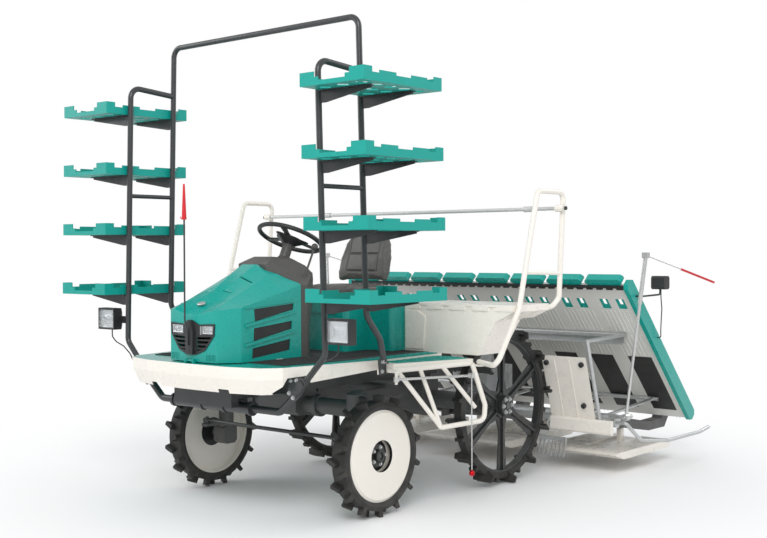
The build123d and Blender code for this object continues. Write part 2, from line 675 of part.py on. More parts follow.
def levers():
    low = (HOOD_HALF - 62, -66, 1262)
    top = (HOOD_HALF - 30, -8, 1446)
    stick = rod(low, top, 12) + at(*top) * Sphere(19)
    gate = block(low[0] - 30, low[0] + 30, -96, -36, 1240, 1250)
    return stick + gate


SEAT_WING_Y = 430


def seat_base():
    low = DECK_Z + SEAT_GAP
    tower = block(-SEAT_BASE_HALF, SEAT_BASE_HALF, SEAT_BASE_FRONT_Y, SEAT_WING_Y + 30, low, SEAT_BASE_TOP)
    tower = fillet(tower.edges().filter_by(Axis.Z).sort_by(Axis.Y)[:2], 40)
    tower = tower - block(-150, 150, SEAT_BASE_FRONT_Y - 1, SEAT_BASE_FRONT_Y + 14, low + 50, SEAT_BASE_TOP - 60)
    edge = REAR_DECK_IN_X - SEAT_GAP
    wings = block(-edge, edge, SEAT_WING_Y, REAR_DECK_Y, low, REAR_DECK_TOP - 20)
    wings = fillet(wings.edges().filter_by(Axis.Z).sort_by(Axis.Y)[:2], 30)
    back = block(-edge, edge, REAR_DECK_Y - 1, REAR_DECK_BACK, low, REAR_DECK_TOP - 4)
    hollow = block(-edge + 8, edge - 8, REAR_DECK_Y + 70, REAR_DECK_BACK + 1, low - 1, REAR_DECK_TOP - 12)
    frame = block(-180, 180, 380, REAR_DECK_Y - 1, REAR_DECK_TOP - 21, SEAT_LOW_Z - SEAT_GAP)
    return tower + wings + back + frame - hollow


def seat_pan():
    cushion = block(-SEAT_HALF, SEAT_HALF, SEAT_FRONT_Y, SEAT_FRONT_Y + 375, SEAT_LOW_Z, SEAT_TOP_Z)
    return fillet(cushion.edges().filter_by(Axis.Z), 50)


def seat_back():
    low = SEAT_TOP_Z + SEAT_GAP
    side = [(620, low), (700, low), (775, low + 296), (745, low + 320), (700, low + 305)]
    back = plate_yz(side, -SEAT_HALF + 3, SEAT_HALF - 3)
    return fillet(back.edges().filter_by_position(Axis.Z, low + 290, low + 330).filter_by(Axis.X), 8)


# White covers beside the seat
def rear_deck_form(inset):
    outer = RAIL_X - RAIL_TUBE / 2 - SEAT_GAP - inset
    inner = REAR_DECK_IN_X + inset
    low = DECK_Z + SEAT_GAP + (-1 if inset else 0)
    top = REAR_DECK_TOP - inset
    face = [(inner, low), (outer - 234, low), (outer - 119, 1029 + inset), (outer, 1085 + inset), (outer, top),
            (inner, top)]
    body = plate_xz(face, REAR_DECK_Y + inset, REAR_DECK_BACK - inset)
    tail = block(inner - 20, 1400, REAR_DECK_Y + 244 - inset, REAR_DECK_BACK + 10, low - 10, 1040 + inset)
    return body - tail


def rear_deck():
    shell = rear_deck_form(0) - rear_deck_form(REAR_DECK_T)
    outer = RAIL_X - RAIL_TUBE / 2 - SEAT_GAP
    lip = block(REAR_DECK_IN_X + 20, outer, REAR_DECK_Y - 7, REAR_DECK_Y + 1, REAR_DECK_TOP - 34, REAR_DECK_TOP)
    notches = [block(x - 26, x + 26, REAR_DECK_Y - 10, REAR_DECK_Y, REAR_DECK_TOP - 36, REAR_DECK_TOP - 12)
               for x in (560, 720, 880, 1040)]
    corner = plate_xz([(REAR_DECK_IN_X + 14, 856), (560, 856), (575, 1040), (520, 1076), (REAR_DECK_IN_X + 14, 1076)],
                      REAR_DECK_Y - 9, REAR_DECK_Y + 1)
    half = shell + (lip - notches) + corner
    return both(half)


# Guard rails
def guard_rail():
    low = STEP_TUBE_Z + 2 + SEAT_GAP + RAIL_TUBE / 2
    rail = bent([(STEP_OUT_REAR + 26, 512, low), (RAIL_X, 366, low), (RAIL_X, 581, 1103), (RAIL_X, 766, RAIL_TOP_Z),
                 (RAIL_X, 1033, RAIL_TOP_Z), (RAIL_X, 985, 1150), (RAIL_X - 24, REAR_DECK_BACK + 50, 1100),
                 (RAIL_X - 24, REAR_DECK_BACK + SEAT_GAP, 1100)], RAIL_TUBE, 45)
    rung = rod((RAIL_X, 640, 1300), (RAIL_X, 996, 1290), 22)
    clamp = ring_x(RAIL_X - 26, RAIL_X + 26, CROSSBAR_D / 2 + 9, CROSSBAR_D / 2 + SEAT_GAP, CROSSBAR_Y, CROSSBAR_Z)
    clamp = clamp + block(RAIL_X - 14, RAIL_X + 14, CROSSBAR_Y + 13, CROSSBAR_Y + 30, CROSSBAR_Z - 12, CROSSBAR_Z + 12)
    return rail + rung + clamp


CROSSBAR_Y = 996


def crossbar():
    bar = ring_x(-RAIL_X - 34, RAIL_X + 34, CROSSBAR_D / 2, 0, CROSSBAR_Y, CROSSBAR_Z)
    joints = [ring_x(x - 26, x + 26, CROSSBAR_D / 2 + 6, 0, CROSSBAR_Y, CROSSBAR_Z) for x in (-620, 980)]
    return bar + joints


# Seedling racks
ARM_JOINT = (635, 744)


def rack_posts():
    def p(y, z):
        return (rack_x(z), y, z)
    front = bent([(ARM_JOINT[0] + 4, RACK_FRONT_Y, ARM_JOINT[1] + 6), p(RACK_FRONT_Y, 903), p(RACK_FRONT_Y, HOOP_Z),
                  p(RACK_REAR_Y, HOOP_Z - 25)], RACK_TUBE, 60)
    rear = bent([(RACK_FOOT_X + 5, -30, 836), (RACK_FOOT_X + 17, -75, 957), p(RACK_REAR_Y, 1090),
                 p(RACK_REAR_Y, BOW_Z - 88 - SEAT_GAP)], RACK_TUBE, 70)
    rung = rod(p(RACK_FRONT_Y, 1745), p(RACK_REAR_Y, 1745), 24)
    foot = plate_yz([(-76, 852), (-64, 766), (24, 766), (36, 778), (-16, 856)], RACK_FOOT_X, RACK_FOOT_X + 9)
    tube = STEP_TUBE / 2 + SEAT_GAP
    foot = foot - block(RACK_FOOT_X - 1, RACK_FOOT_X + 10, -tube, 60, STEP_TUBE_Z - tube, STEP_TOP_Z + SEAT_GAP)
    return front + rear + rung + foot


def top_bow():
    z = BOW_Z - 88
    x = rack_x(z)
    return bent([(-x, RACK_REAR_Y, z), (-x + 3, RACK_REAR_Y, BOW_Z), (x - 3, RACK_REAR_Y, BOW_Z),
                 (x, RACK_REAR_Y, z)], RACK_TUBE, 60)


def shelf(number):
    low = SHELF_LOW_Z + SHELF_PITCH * number
    inner = rack_x(low) + RACK_TUBE / 2 + 4
    outer = inner + SHELF_W
    high = low + SHELF_RIM_H
    tray = block(inner, outer, SHELF_FRONT_Y, SHELF_REAR_Y, low, high)
    corners = [block(x0, x1, y0, y1, low, low + SHELF_CORNER_H)
               for x0, x1 in ((inner, inner + 92), (outer - 92, outer))
               for y0, y1 in ((SHELF_FRONT_Y, SHELF_FRONT_Y + 60), (SHELF_REAR_Y - 60, SHELF_REAR_Y))]
    bumps = [block(x, x + SHELF_T, y - 60, y + 60, low, high + 14) for x in (inner, outer - SHELF_T)
             for y in (-500, -265)]
    pocket = block(inner + SHELF_T, outer - SHELF_T, SHELF_FRONT_Y + SHELF_T, SHELF_REAR_Y - SHELF_T,
                   low + SHELF_T, low + 100)
    notches = [block(inner + 120, outer - 120, y - SHELF_T - 2, y + SHELF_T + 2, low + 22, low + 100)
               for y in (SHELF_FRONT_Y, SHELF_REAR_Y)]
    holes = []
    for row in range(5):
        for column in range(3):
            x = inner + 90 + column * 118
            y = SHELF_FRONT_Y + 85 + row * 105
            holes.append(at(x, y, low) * Rot(0, 0, 45) * Box(56, 56, 4 * SHELF_T))
    return tray + corners + bumps - pocket - notches - holes


def shelf_brackets(number):
    low = SHELF_LOW_Z + SHELF_PITCH * number
    pieces = []
    for y in (RACK_FRONT_Y, RACK_REAR_Y):
        x = rack_x(low - 60) + RACK_TUBE / 2 + SEAT_GAP
        top = low - SEAT_GAP
        web = plate_xz([(x, top), (x + 330, top), (x + 330, low - 14), (x + 34, low - 62), (x, low - 62)], y - 4, y + 4)
        flange = block(x, x + 330, y - 22, y + 22, top - 5, top)
        pieces.append(web + flange)
    return pieces


def rack_carrier():
    y = RACK_FRONT_Y
    beam = bent([(-ARM_JOINT[0] + 30, y, ARM_JOINT[1] - 36), (-474, y, 597), (474, y, 597),
                 (ARM_JOINT[0] - 30, y, ARM_JOINT[1] - 36)], 40, 60)
    sleeve = ring_x(-360, 260, 32, 0, y, 597)
    collars = [ring_x(x - 9, x + 9, 38, 0, y, 597) for x in (-360, -120, 60, 260)]
    front = y - RACK_TUBE / 2 - SEAT_GAP
    pieces = []
    for side in (-1, 1):
        gusset = plate_xz([(side * 545, 700), (side * 590, 664), (side * 640, 700), (side * 672, 770), (side * 640, 786),
                           (side * 572, 784)], front - 7, front)
        link = block(side * 600 - 16, side * 600 + 16, front - 1, y + 10, 692, 716)
        pieces += [gusset, link, disc_y(side * ARM_JOINT[0], ARM_JOINT[1], front - 14, front - 6, 26)]
    hangers = [block(side * BEAM_MID_X - 25, side * BEAM_MID_X + 25, y - 10, y + 10, 620, RAIL_LOW_Z - SEAT_GAP)
               for side in (-1, 1)]
    return beam + sleeve + collars + pieces + hangers


LAMP_X = 925
LAMP_Z = 1030
LAMP_W = 150
LAMP_H = 125
LAMP_D = 80


def work_lamp():
    y = RACK_FRONT_Y - 14
    half_w, half_h = LAMP_W / 2, LAMP_H / 2
    housing = block(LAMP_X - half_w, LAMP_X + half_w, y - 42, y + LAMP_D - 42, LAMP_Z - half_h, LAMP_Z + half_h)
    housing = chamfer(housing.faces().sort_by(Axis.Y)[-1].edges(), 26)
    housing = housing - block(LAMP_X - half_w + 9, LAMP_X + half_w - 9, y - 50, y - 24, LAMP_Z - half_h + 9,
                              LAMP_Z + half_h - 9)
    start = rack_x(1010) + RACK_TUBE / 2 + SEAT_GAP
    bracket = block(start, LAMP_X - half_w + 8, RACK_FRONT_Y - 5, RACK_FRONT_Y + 15, 1005, 1045)
    return housing + bracket


def lamp_lens():
    y = RACK_FRONT_Y - 14
    half_w, half_h = LAMP_W / 2 - 9 - SEAT_GAP, LAMP_H / 2 - 9 - SEAT_GAP
    return block(LAMP_X - half_w, LAMP_X + half_w, y - 40, y - 34, LAMP_Z - half_h, LAMP_Z + half_h)


def lamp_cable():
    y = RACK_FRONT_Y - RACK_TUBE / 2 - SEAT_GAP - 7 - SEAT_GAP - 3.5
    x = LAMP_X - 20
    points = [(x, y, LAMP_Z - LAMP_H / 2 - SEAT_GAP), (x, y, 925), (866, y, 896), (796, y, 874), (735, y, 832),
              (690, y, 770), (662, y, 716), (606, y, 690)]
    return bent(points, 7, 24)


# Side marker on a pivot at the rear post's foot
def side_marker():
    x, y = SIDE_PIVOT
    z = STEP_TUBE_Z - 44
    end_x = step_x(440) + 46
    hub = at(x, y, z) * Cylinder(16, 24)
    arm = rod((x, y, z), (end_x, 440, z - 8), 14)
    block_end = at(end_x, 440, z - 8) * Box(26, 26, 26)
    wire = rod((end_x, 440, z - 8), (end_x, 440, 215), 7)
    ball = at(end_x, 440, 202) * Sphere(16)
    return hub + arm + block_end + wire + ball - at(x, y, z) * Cylinder(SIDE_PIVOT_R + RUNNING_FIT, 60)


# Lift linkage: two pairs of equal bars keep the planting unit level
SLOPE = math.radians(LINK_SLOPE)
LINK_DY = LINK_LENGTH * math.cos(SLOPE)
LINK_DZ = -LINK_LENGTH * math.sin(SLOPE)
MAST_Y = LIFT_PIVOT_Y + LINK_DY
BEAM_Y = MAST_Y + BEAM_BACK


def link_bar(x, z, end_gap):
    start = (x, LIFT_PIVOT_Y, z)
    end = (x, MAST_Y, z + LINK_DZ)
    plane = Plane(origin=start, x_dir=(1, 0, 0), z_dir=Vector(*end) - Vector(*start))
    bar = plane * Box(16, 50, LINK_LENGTH, align=(Align.CENTER, Align.CENTER, Align.MIN))
    bar = bar + ring_x(x - 8, x + 8, 30, 0, start[1], start[2]) + ring_x(x - 8, x + 8, 30, 0, end[1], end[2])
    first = ring_x(x - 20, x + 20, LINK_PIN_R + RUNNING_FIT, 0, start[1], start[2])
    last = ring_x(x - 20, x + 20, LINK_PIN_R + end_gap, 0, end[1], end[2])
    return bar - first - last


def on_link(distance, z):
    return LIFT_PIVOT_Y + distance * math.cos(SLOPE), z - distance * math.sin(SLOPE)


def lower_links():
    y, z = on_link(CYLINDER_ARM, LOWER_PIVOT_Z)
    cross = ring_x(-LOWER_LINK_X + 7, LOWER_LINK_X - 7, CYLINDER_EYE_R, 0, y, z)
    return link_bar(-LOWER_LINK_X, LOWER_PIVOT_Z, RUNNING_FIT) + link_bar(LOWER_LINK_X, LOWER_PIVOT_Z, RUNNING_FIT) + cross


def upper_links():
    y, z = on_link(LINK_LENGTH * 0.46, UPPER_PIVOT_Z)
    cross = ring_x(-UPPER_LINK_X + 7, UPPER_LINK_X - 7, 15, 0, y, z)
    return link_bar(-UPPER_LINK_X, UPPER_PIVOT_Z, OPEN_PIN_GAP) + link_bar(UPPER_LINK_X, UPPER_PIVOT_Z, OPEN_PIN_GAP) + cross


def cylinder_plane():
    y, z = on_link(CYLINDER_ARM, LOWER_PIVOT_Z)
    way = Vector(0, y - CYLINDER_Y, z - CYLINDER_Z)
    return Plane(origin=(0, CYLINDER_Y, CYLINDER_Z), x_dir=(1, 0, 0), z_dir=way), way.length


def lift_barrel():
    plane, _ = cylinder_plane()
    low = (Align.CENTER, Align.CENTER, Align.MIN)
    barrel = at(0, 0, 24) * Cylinder(26, 141, align=low) + Cylinder(14, 30, align=low)
    barrel = barrel + at(0, 0, 147) * Cylinder(30, 18, align=low)
    barrel = barrel - at(0, 0, 34) * Cylinder(CYLINDER_ROD_R + RUNNING_FIT, 140, align=low)
    barrel = plane * barrel + ring_x(-16, 16, 20, 0, CYLINDER_Y, CYLINDER_Z)
    return barrel - ring_x(-20, 20, CYLINDER_PIN_R + RUNNING_FIT, 0, CYLINDER_Y, CYLINDER_Z)


def lift_rod():
    plane, length = cylinder_plane()
    low = (Align.CENTER, Align.CENTER, Align.MIN)
    y, z = on_link(CYLINDER_ARM, LOWER_PIVOT_Z)
    bar = plane * (at(0, 0, 118) * Cylinder(CYLINDER_ROD_R, length - 138, align=low))
    bar = bar + ring_x(-15, 15, CYLINDER_EYE_R + 16, 0, y, z)
    return bar - ring_x(-20, 20, CYLINDER_EYE_R + CYLINDER_DRIFT, 0, y, z)


# Planting unit
STAGE_TOP_Y = BEAM_Y + STAGE_TOP_BACK
STAGE_FOOT_Y = BEAM_Y + STAGE_FOOT_BACK
ROTOR_Y = BEAM_Y + ROTOR_BACK
MARKER_Y = BEAM_Y + MARKER_BACK
MARKER_FOOT = (MARKER_X, MARKER_Y, MARKER_Z)
SHIELD_LEAN = 150 / 495
GUIDE_HALF = STAGE_HALF_W - STAGE_RAIL_W - STAGE_TRAVEL - 2 * MOVING_GAP


def shield_y(z):
    return BEAM_Y + SHIELD_BACK + (SHIELD_TOP_Z - z) * SHIELD_LEAN


def under_stage(share):
    drop = STAGE_T / 2 + SEAT_GAP + GUIDE_R
    run_y = STAGE_FOOT_Y - STAGE_TOP_Y
    run_z = STAGE_TOP_Z - STAGE_FOOT_Z
    length = math.hypot(run_y, run_z)
    return STAGE_TOP_Y + share * run_y - drop * run_z / length, STAGE_TOP_Z - share * run_z - drop * run_y / length


def planting_frame():
    low = LOWER_PIVOT_Z + LINK_DZ
    high = UPPER_PIVOT_Z + LINK_DZ
    pins = ring_x(-LOWER_LINK_X - 22, LOWER_LINK_X + 22, LINK_PIN_R, 0, MAST_Y, low)
    pins = pins + ring_x(-UPPER_LINK_X - 22, UPPER_LINK_X + 22, LINK_PIN_R, 0, MAST_Y, high)
    ears = [block(x - 8, x + 8, MAST_Y - 26, BEAM_Y, low - 26, high + 26) for x in (-UPPER_LINK_X + 30, UPPER_LINK_X - 30)]
    ears += [block(x - 8, x + 8, MAST_Y - 26, BEAM_Y, low - 26, low + 60) for x in (-LOWER_LINK_X + 28, LOWER_LINK_X - 28)]
    web = block(-240, 240, BEAM_Y - 20, BEAM_Y + 20, low - 40, high + 40)
    beam = ring_x(-BEAM_HALF, BEAM_HALF, BEAM_R, 0, BEAM_Y, BEAM_Z)
    top_y, top_z = under_stage(0.35)
    foot_y, foot_z = under_stage(0.85)
    rails = ring_x(-GUIDE_HALF, GUIDE_HALF, GUIDE_R, 0, top_y, top_z)
    rails = rails + ring_x(-GUIDE_HALF, GUIDE_HALF, GUIDE_R, 0, foot_y, foot_z)
    channel = block(-GUIDE_HALF + 20, GUIDE_HALF - 20, top_y - 26, top_y + 10, top_z - 62, top_z - 8)
    hollow = block(-GUIDE_HALF, GUIDE_HALF, top_y - 30, top_y + 4, top_z - 56, top_z - 16)
    struts = [rod((x, BEAM_Y, BEAM_Z + 20), (x, foot_y, foot_z), 22) for x in (-960, -580, 0, 580, 960)]
    struts.append(block(-90, 90, BEAM_Y - 6, BEAM_Y + 14, high, top_z - 50))
    struts.append(rod((0, BEAM_Y, top_z - 60), (0, top_y, top_z - 30), 40))
    back = SHIELD_T + (SEAT_GAP + 13) / math.cos(math.atan(SHIELD_LEAN))
    for x in (-POST_X, POST_X):
        struts.append(rod((x, shield_y(320) + back, 320), (x, shield_y(860) + back, 860), 26))
        struts.append(block(x - 13, x + 13, shield_y(330) + back, BEAM_Y, 318, 342))
        struts.append(rod((x, shield_y(850) + back, 850), (x, top_y, top_z), 26))
    back = SHIELD_T + (SEAT_GAP + 8) / math.cos(math.atan(SHIELD_LEAN))
    for z in (360, 640):
        for side in (-1, 1):
            ends = sorted((side * 618, side * (POST_X - 8)))
            struts.append(ring_x(ends[0], ends[1], 8, 0, shield_y(z) + back, z))
    x, y, z = MARKER_FOOT
    for side in (-1, 1):
        struts.append(rod((side * 1020, BEAM_Y - 25, BEAM_Z + 20), (side * x, y + 66, z), 24))
        struts.append(rod((side * x, y - 36, z), (side * x, y + 74, z), 2 * MARKER_PIN_R))
    return web + pins + ears + beam + rails + (channel - hollow) + struts


def case_underside(y):
    return BEAM_Z - 38 - 122 * (y - BEAM_Y) / 705


def planting_cases():
    side = [(BEAM_Y, BEAM_Z + 38), (BEAM_Y, BEAM_Z - 38), (BEAM_Y + 705, 170), (ROTOR_Y - 20, 170),
            (ROTOR_Y + 45, 245), (ROTOR_Y + 45, 325), (ROTOR_Y - 20, 335), (ROTOR_Y - 60, 235), (BEAM_Y + 705, 232)]
    pieces = []
    for x in CASE_XS:
        case = plate_yz(side, x - CASE_W / 2, x + CASE_W / 2)
        case = chamfer(case.edges().filter_by(Axis.X).sort_by(Axis.Y)[-3:], 10)
        case = case - ring_x(x - 50, x + 50, BEAM_R + SEAT_GAP, 0, BEAM_Y, BEAM_Z)
        pieces.append(case - ring_x(x - 60, x + 60, ROTOR_SHAFT_R + RUNNING_FIT, 0, ROTOR_Y, ROTOR_Z))
    return pieces


def planting_rotors():
    claw = [(70, -20), (96, -28), (107, -62), (113, -62), (112, -24), (102, -8), (102, 8), (70, 20)]
    pieces = []
    for case_x in CASE_XS:
        shaft = ring_x(case_x - ROTOR_ARM_X - 30, case_x + ROTOR_ARM_X + 30, ROTOR_SHAFT_R, 0, ROTOR_Y, ROTOR_Z)
        for side in (-1, 1):
            x = case_x + side * ROTOR_ARM_X
            arm = ring_x(x - 26, x + 26, 40, 0, ROTOR_Y, ROTOR_Z)
            body = plate_yz([(-95, -16), (-70, -28), (70, -28), (95, -16), (95, 16), (70, 28), (-70, 28), (-95, 16)],
                            x - 20, x + 20)
            prong = plate_yz(claw, x - 16, x - 12) + plate_yz(claw, x + 12, x + 16)
            turned = body + prong + Rot(180, 0, 0) * prong
            arm = arm + at(0, ROTOR_Y, ROTOR_Z) * turned
            shaft = shaft + arm
        pieces.append(shaft)
    return pieces


def floats():
    # left edge, right edge, front and rear counted from the beam, post places
    table = [(-330, 330, -235, 665, (-290, 290)), (560, 1120, -135, 605, (870,)), (-1120, -560, -135, 605, (-870,))]
    top = FLOAT_Z + FLOAT_H
    pieces = []
    for x0, x1, back0, back1, posts in table:
        y0, y1 = BEAM_Y + back0, BEAM_Y + back1
        side = [(y0, top - 12), (y0 + 110, FLOAT_Z), (y1 - 30, FLOAT_Z), (y1, FLOAT_Z + 16), (y1, top), (y0 + 40, top)]
        body = plate_yz(side, x0, x1)
        groove = block((x0 + x1) / 2 - 70, (x0 + x1) / 2 + 70, y0 + 200, y1 + 1, top - 14, top + 1)
        body = body - groove
        for x in posts:
            y = BEAM_Y + 375
            under = case_underside(y + 20) - SEAT_GAP
            body = body + block(x - 15, x + 15, y - 20, y + 20, top - 20, under)
        pieces.append(body)
    return pieces


def stage_frame():
    run = Vector(0, STAGE_FOOT_Y - STAGE_TOP_Y, STAGE_FOOT_Z - STAGE_TOP_Z)
    return Plane(origin=(0, STAGE_TOP_Y, STAGE_TOP_Z), x_dir=(1, 0, 0), z_dir=Vector(0, -run.Z, run.Y)), run.length


STAGE_INNER_W = 2 * (STAGE_HALF_W - STAGE_RAIL_W)
LANE_PITCH = STAGE_INNER_W / LANES
BELT_W = 176
BELT_T = 9


def lane_x(lane):
    return (lane - LANES / 2 + 0.5) * LANE_PITCH


def seedling_stage():
    plane, length = stage_frame()
    board = at(0, length / 2, 0) * Box(STAGE_INNER_W, length, STAGE_T)
    # The fences stop short of the foot, where the claws sweep past
    reach = length - FENCE_FOOT_GAP
    fence = at(0, reach / 2, STAGE_T / 2 + FENCE_H / 2 - 1) * Box(FENCE_T, reach, FENCE_H + 2)
    fences = [at((i - LANES / 2) * LANE_PITCH, 0, 0) * fence for i in range(1, LANES)]
    cuts = []
    for lane in range(LANES):
        x = lane_x(lane)
        cuts.append(at(x, length * 0.735, -STAGE_T / 2 + BELT_T / 2) * Box(BELT_W, length * 0.42, BELT_T))
        for shift in (-58, 58):
            cuts.append(at(x + shift, length * 0.135, 0) * Box(62, 92, STAGE_T + 4))
    return plane * (board + fences - cuts)


def stage_belts():
    plane, length = stage_frame()
    belt = Box(BELT_W - 2 * SEAT_GAP, length * 0.42 - 2 * SEAT_GAP, BELT_T - 2 * SEAT_GAP)
    return [plane * at(lane_x(lane), length * 0.735, -STAGE_T / 2 + BELT_T / 2) * belt for lane in range(LANES)]


def stage_rails():
    plane, length = stage_frame()
    pieces = []
    for side in (-1, 1):
        x = side * (STAGE_HALF_W - STAGE_RAIL_W / 2 + SEAT_GAP / 2)
        rail = at(x, length / 2, 12) * Box(STAGE_RAIL_W - SEAT_GAP, length + 20, 90)
        rail = chamfer(rail.edges().filter_by(Axis.X), 24)
        pieces.append(plane * rail)
    return pieces


def stage_caps():
    plane, length = stage_frame()
    pieces = []
    for lane in range(LANES):
        cap = at(lane_x(lane), -24 - SEAT_GAP, 16) * Box(LANE_PITCH - 26, 48, 50)
        cap = chamfer(cap.edges().filter_by(Axis.Z), 16)
        pieces.append(plane * cap)
        for shift in (-58, 58):
            inlay = at(lane_x(lane) + shift, length * 0.135, 0) * (Box(62 - 2 * SEAT_GAP, 92 - 2 * SEAT_GAP, 8)
                                                                 - at(0, -20, 0) * Box(26, 60, 10))
            pieces.append(plane * inlay)
    return pieces


def stage_comb():
    plane, length = stage_frame()
    strip = at(0, 14, -STAGE_T / 2 - SEAT_GAP - 9) * Box(STAGE_INNER_W, 26, 18)
    count = 4 * LANES
    teeth = [at((i - count / 2) * LANE_PITCH / 4, 20, -STAGE_T / 2 - SEAT_GAP - 9) * Box(LANE_PITCH / 10, 16, 20)
             for i in range(1, count)]
    return plane * (strip - teeth)


def rear_lamp():
    rail_y = STAGE_TOP_Y + 90
    out = STAGE_HALF_W + 2 * SEAT_GAP
    stalk = bent([(out, rail_y, 1128), (out + 38, rail_y, 1128), (out + 38, rail_y + 250, 1132),
                  (out + 38, rail_y + 250, 1172)], 12, 16)
    box = block(out - 8, out + 86, rail_y + 214, rail_y + 286, 1166, 1252)
    box = chamfer(box.edges().filter_by(Axis.X), 12)
    return stalk + box


def rear_lamp_cable():
    x = STAGE_HALF_W + 2 * SEAT_GAP + 36
    y = STAGE_TOP_Y + 356
    points = [(x, y, 1166 - SEAT_GAP), (x, y, 1110), (x + 2, y + 8, 1040), (x - 6, y + 14, 960),
              (x - 12, y + 20, 896), (x - 12, y + 22, 850), (STAGE_HALF_W + SEAT_GAP, y + 22, 850)]
    return bent(points, 7, 14)


def mud_shield():
    points = [(shield_y(SHIELD_TOP_Z), SHIELD_TOP_Z), (shield_y(SHIELD_TOP_Z) + SHIELD_T, SHIELD_TOP_Z),
              (shield_y(SHIELD_LOW_Z) + SHIELD_T, SHIELD_LOW_Z), (shield_y(SHIELD_LOW_Z), SHIELD_LOW_Z)]
    shield = plate_yz(points, 640, POST_X - 20)
    for x in (730, 840):
        rib = [(shield_y(720) - 5, 720), (shield_y(720) + 1, 720), (shield_y(280) + 1, 280), (shield_y(280) - 5, 280)]
        shield = shield + plate_yz(rib, x - 5, x + 5)
    foot = block(650, 1092, BEAM_Y + SHIELD_BACK + 90, shield_y(345) + 3, 254, 345)
    return shield + chamfer(foot.edges().filter_by(Axis.X).sort_by(Axis.Y)[:2], 12)


RAKE_BACK = -192


def rake():
    y = BEAM_Y + RAKE_BACK
    bar = block(600, 800, y - 10, y + 10, 196, 222)
    teeth = [plate_yz([(y - 8, 198), (y + 8, 198), (y - 26, 100), (y - 34, 104)], x - 4, x + 4) for x in range(608, 800, 31)]
    rod_y = shield_y(360) + SHIELD_T + (SEAT_GAP + 8) / math.cos(math.atan(SHIELD_LEAN))
    hanger = plate_yz([(y - 6, 210), (y + 8, 200), (rod_y + 22, 344), (rod_y + 22, 360), (rod_y + 10, 360)], 624, 632)
    hanger = hanger - ring_x(615, 645, 8 + SEAT_GAP, 0, rod_y, 360)
    return bar + teeth + hanger


def line_marker():
    x, y, z = MARKER_FOOT
    hub = rod((x, y - 25, z), (x, y + 25, z), 2 * MARKER_HUB_R)
    top = (x + 100, y + 66, 1388)
    arm = rod(MARKER_FOOT, top, 18)
    sleeve = rod((x + 70, y + 46, z + 696), top, 26)
    knob = at(*top) * Box(34, 40, 34)
    bore = rod((x, y - 60, z), (x, y + 60, z), 2 * (MARKER_PIN_R + RUNNING_FIT))
    mid = (x + 129, y + 483, 1296)
    tip = rod(mid, (x + 157, y + 897, 1204), 15)
    return hub + arm + sleeve + knob + rod(top, mid, 8) + tip - bore


def side_bumper():
    z = BEAM_Z - 10
    x = BEAM_HALF + SEAT_GAP
    return bent([(x, BEAM_Y, z), (x + 60, BEAM_Y, z), (x + 130, BEAM_Y + 60, 215), (1325, BEAM_Y + 170, 213),
                 (1325, BEAM_Y + 620, 212), (1330, BEAM_Y + 745, 232)], 24, 30)


def main():
    nodes = {
        "chassis_frame": chassis_frame(),
        "engine_block": engine(),
        "gearbox": gearbox(),
        "front_axle": front_axle(),
        "rear_axle": rear_axle(),
        "deck": deck(),
        "front_skirt": front_skirt(),
        "floor_mats": floor_mats(),
        "step_frames": both(step_frame()),
        "step_grips": both(step_grips()),
        "hood_shell": hood(),
        "grille": group([grille(), hood_vents()]),
        "headlamps": headlamps(),
        "marker_pole": marker_pole() + marker_tip(),
        "dash": dash() + levers(),
        "steering_wheel": steering_wheel(),
        "seat_base": seat_base(),
        "seat_cushion": seat_pan(),
        "seat_back": seat_back(),
        "rear_deck": rear_deck(),
        "guard_rails": both(guard_rail()),
        "crossbar": crossbar(),
        "rack_posts": both(rack_posts()),
        "top_bow": top_bow(),
        "rack_carrier": rack_carrier(),
        "work_lamps": both(work_lamp()),
        "lamp_lenses": both(lamp_lens()),
        "lamp_cables": both(lamp_cable()),
        "lower_links": lower_links(),
        "upper_links": upper_links(),
        "lift_barrel": lift_barrel(),
        "lift_rod": lift_rod(),
        "planting_frame": group([planting_frame(), both(rake())]),
        "planting_cases": group(planting_cases()),
        "planting_rotors": group(planting_rotors()),
        "floats": group(floats()),
        "seedling_stage": seedling_stage(),
        "stage_belts": group(stage_belts() + [stage_comb()]),
        "stage_rails": group(stage_rails() + stage_caps()),
        "rear_lamps": both(rear_lamp()),
        "rear_lamp_cables": both(rear_lamp_cable()),
        "mud_shields": both(mud_shield()),
        "side_bumpers": both(side_bumper()),
        "tie_rod": tie_rod(),
    }
    trays = [shelf(number) for number in range(SHELF_COUNT)]
    nodes["shelves"] = group(trays + [flip(tray) for tray in trays])
    brackets = [piece for number in range(SHELF_COUNT) for piece in shelf_brackets(number)]
    nodes["shelf_brackets"] = group(brackets + [flip(piece) for piece in brackets])
    sides = {"left": lambda shape: shape, "right": flip}
    for side, turn in sides.items():
        nodes[f"knuckle_{side}"] = turn(knuckle())
        nodes[f"front_tyre_{side}"] = turn(at(FRONT_TRACK_X, 0, FRONT_R) * front_tyre())
        nodes[f"front_disc_{side}"] = turn(at(FRONT_TRACK_X, 0, FRONT_R) * front_disc())
        nodes[f"rear_tyre_{side}"] = turn(at(REAR_TRACK_X, WHEELBASE, REAR_R) * rear_tyre())
        nodes[f"rear_spider_{side}"] = turn(at(REAR_TRACK_X, WHEELBASE, REAR_R) * rear_spider())
        nodes[f"side_marker_{side}"] = turn(side_marker())
        nodes[f"line_marker_{side}"] = turn(line_marker())
    return nodes


NODES = main()
boxes = [shape.bounding_box() for shape in NODES.values()]
ORIGIN_Y = (min(box.min.Y for box in boxes) + max(box.max.Y for box in boxes)) / 2
os.makedirs("parts", exist_ok=True)
for name, shape in NODES.items():
    export_step(at(0, -ORIGIN_Y, 0) * shape, f"parts/{name}.step")
print("nodes", len(NODES), "origin", round(ORIGIN_Y, 2))
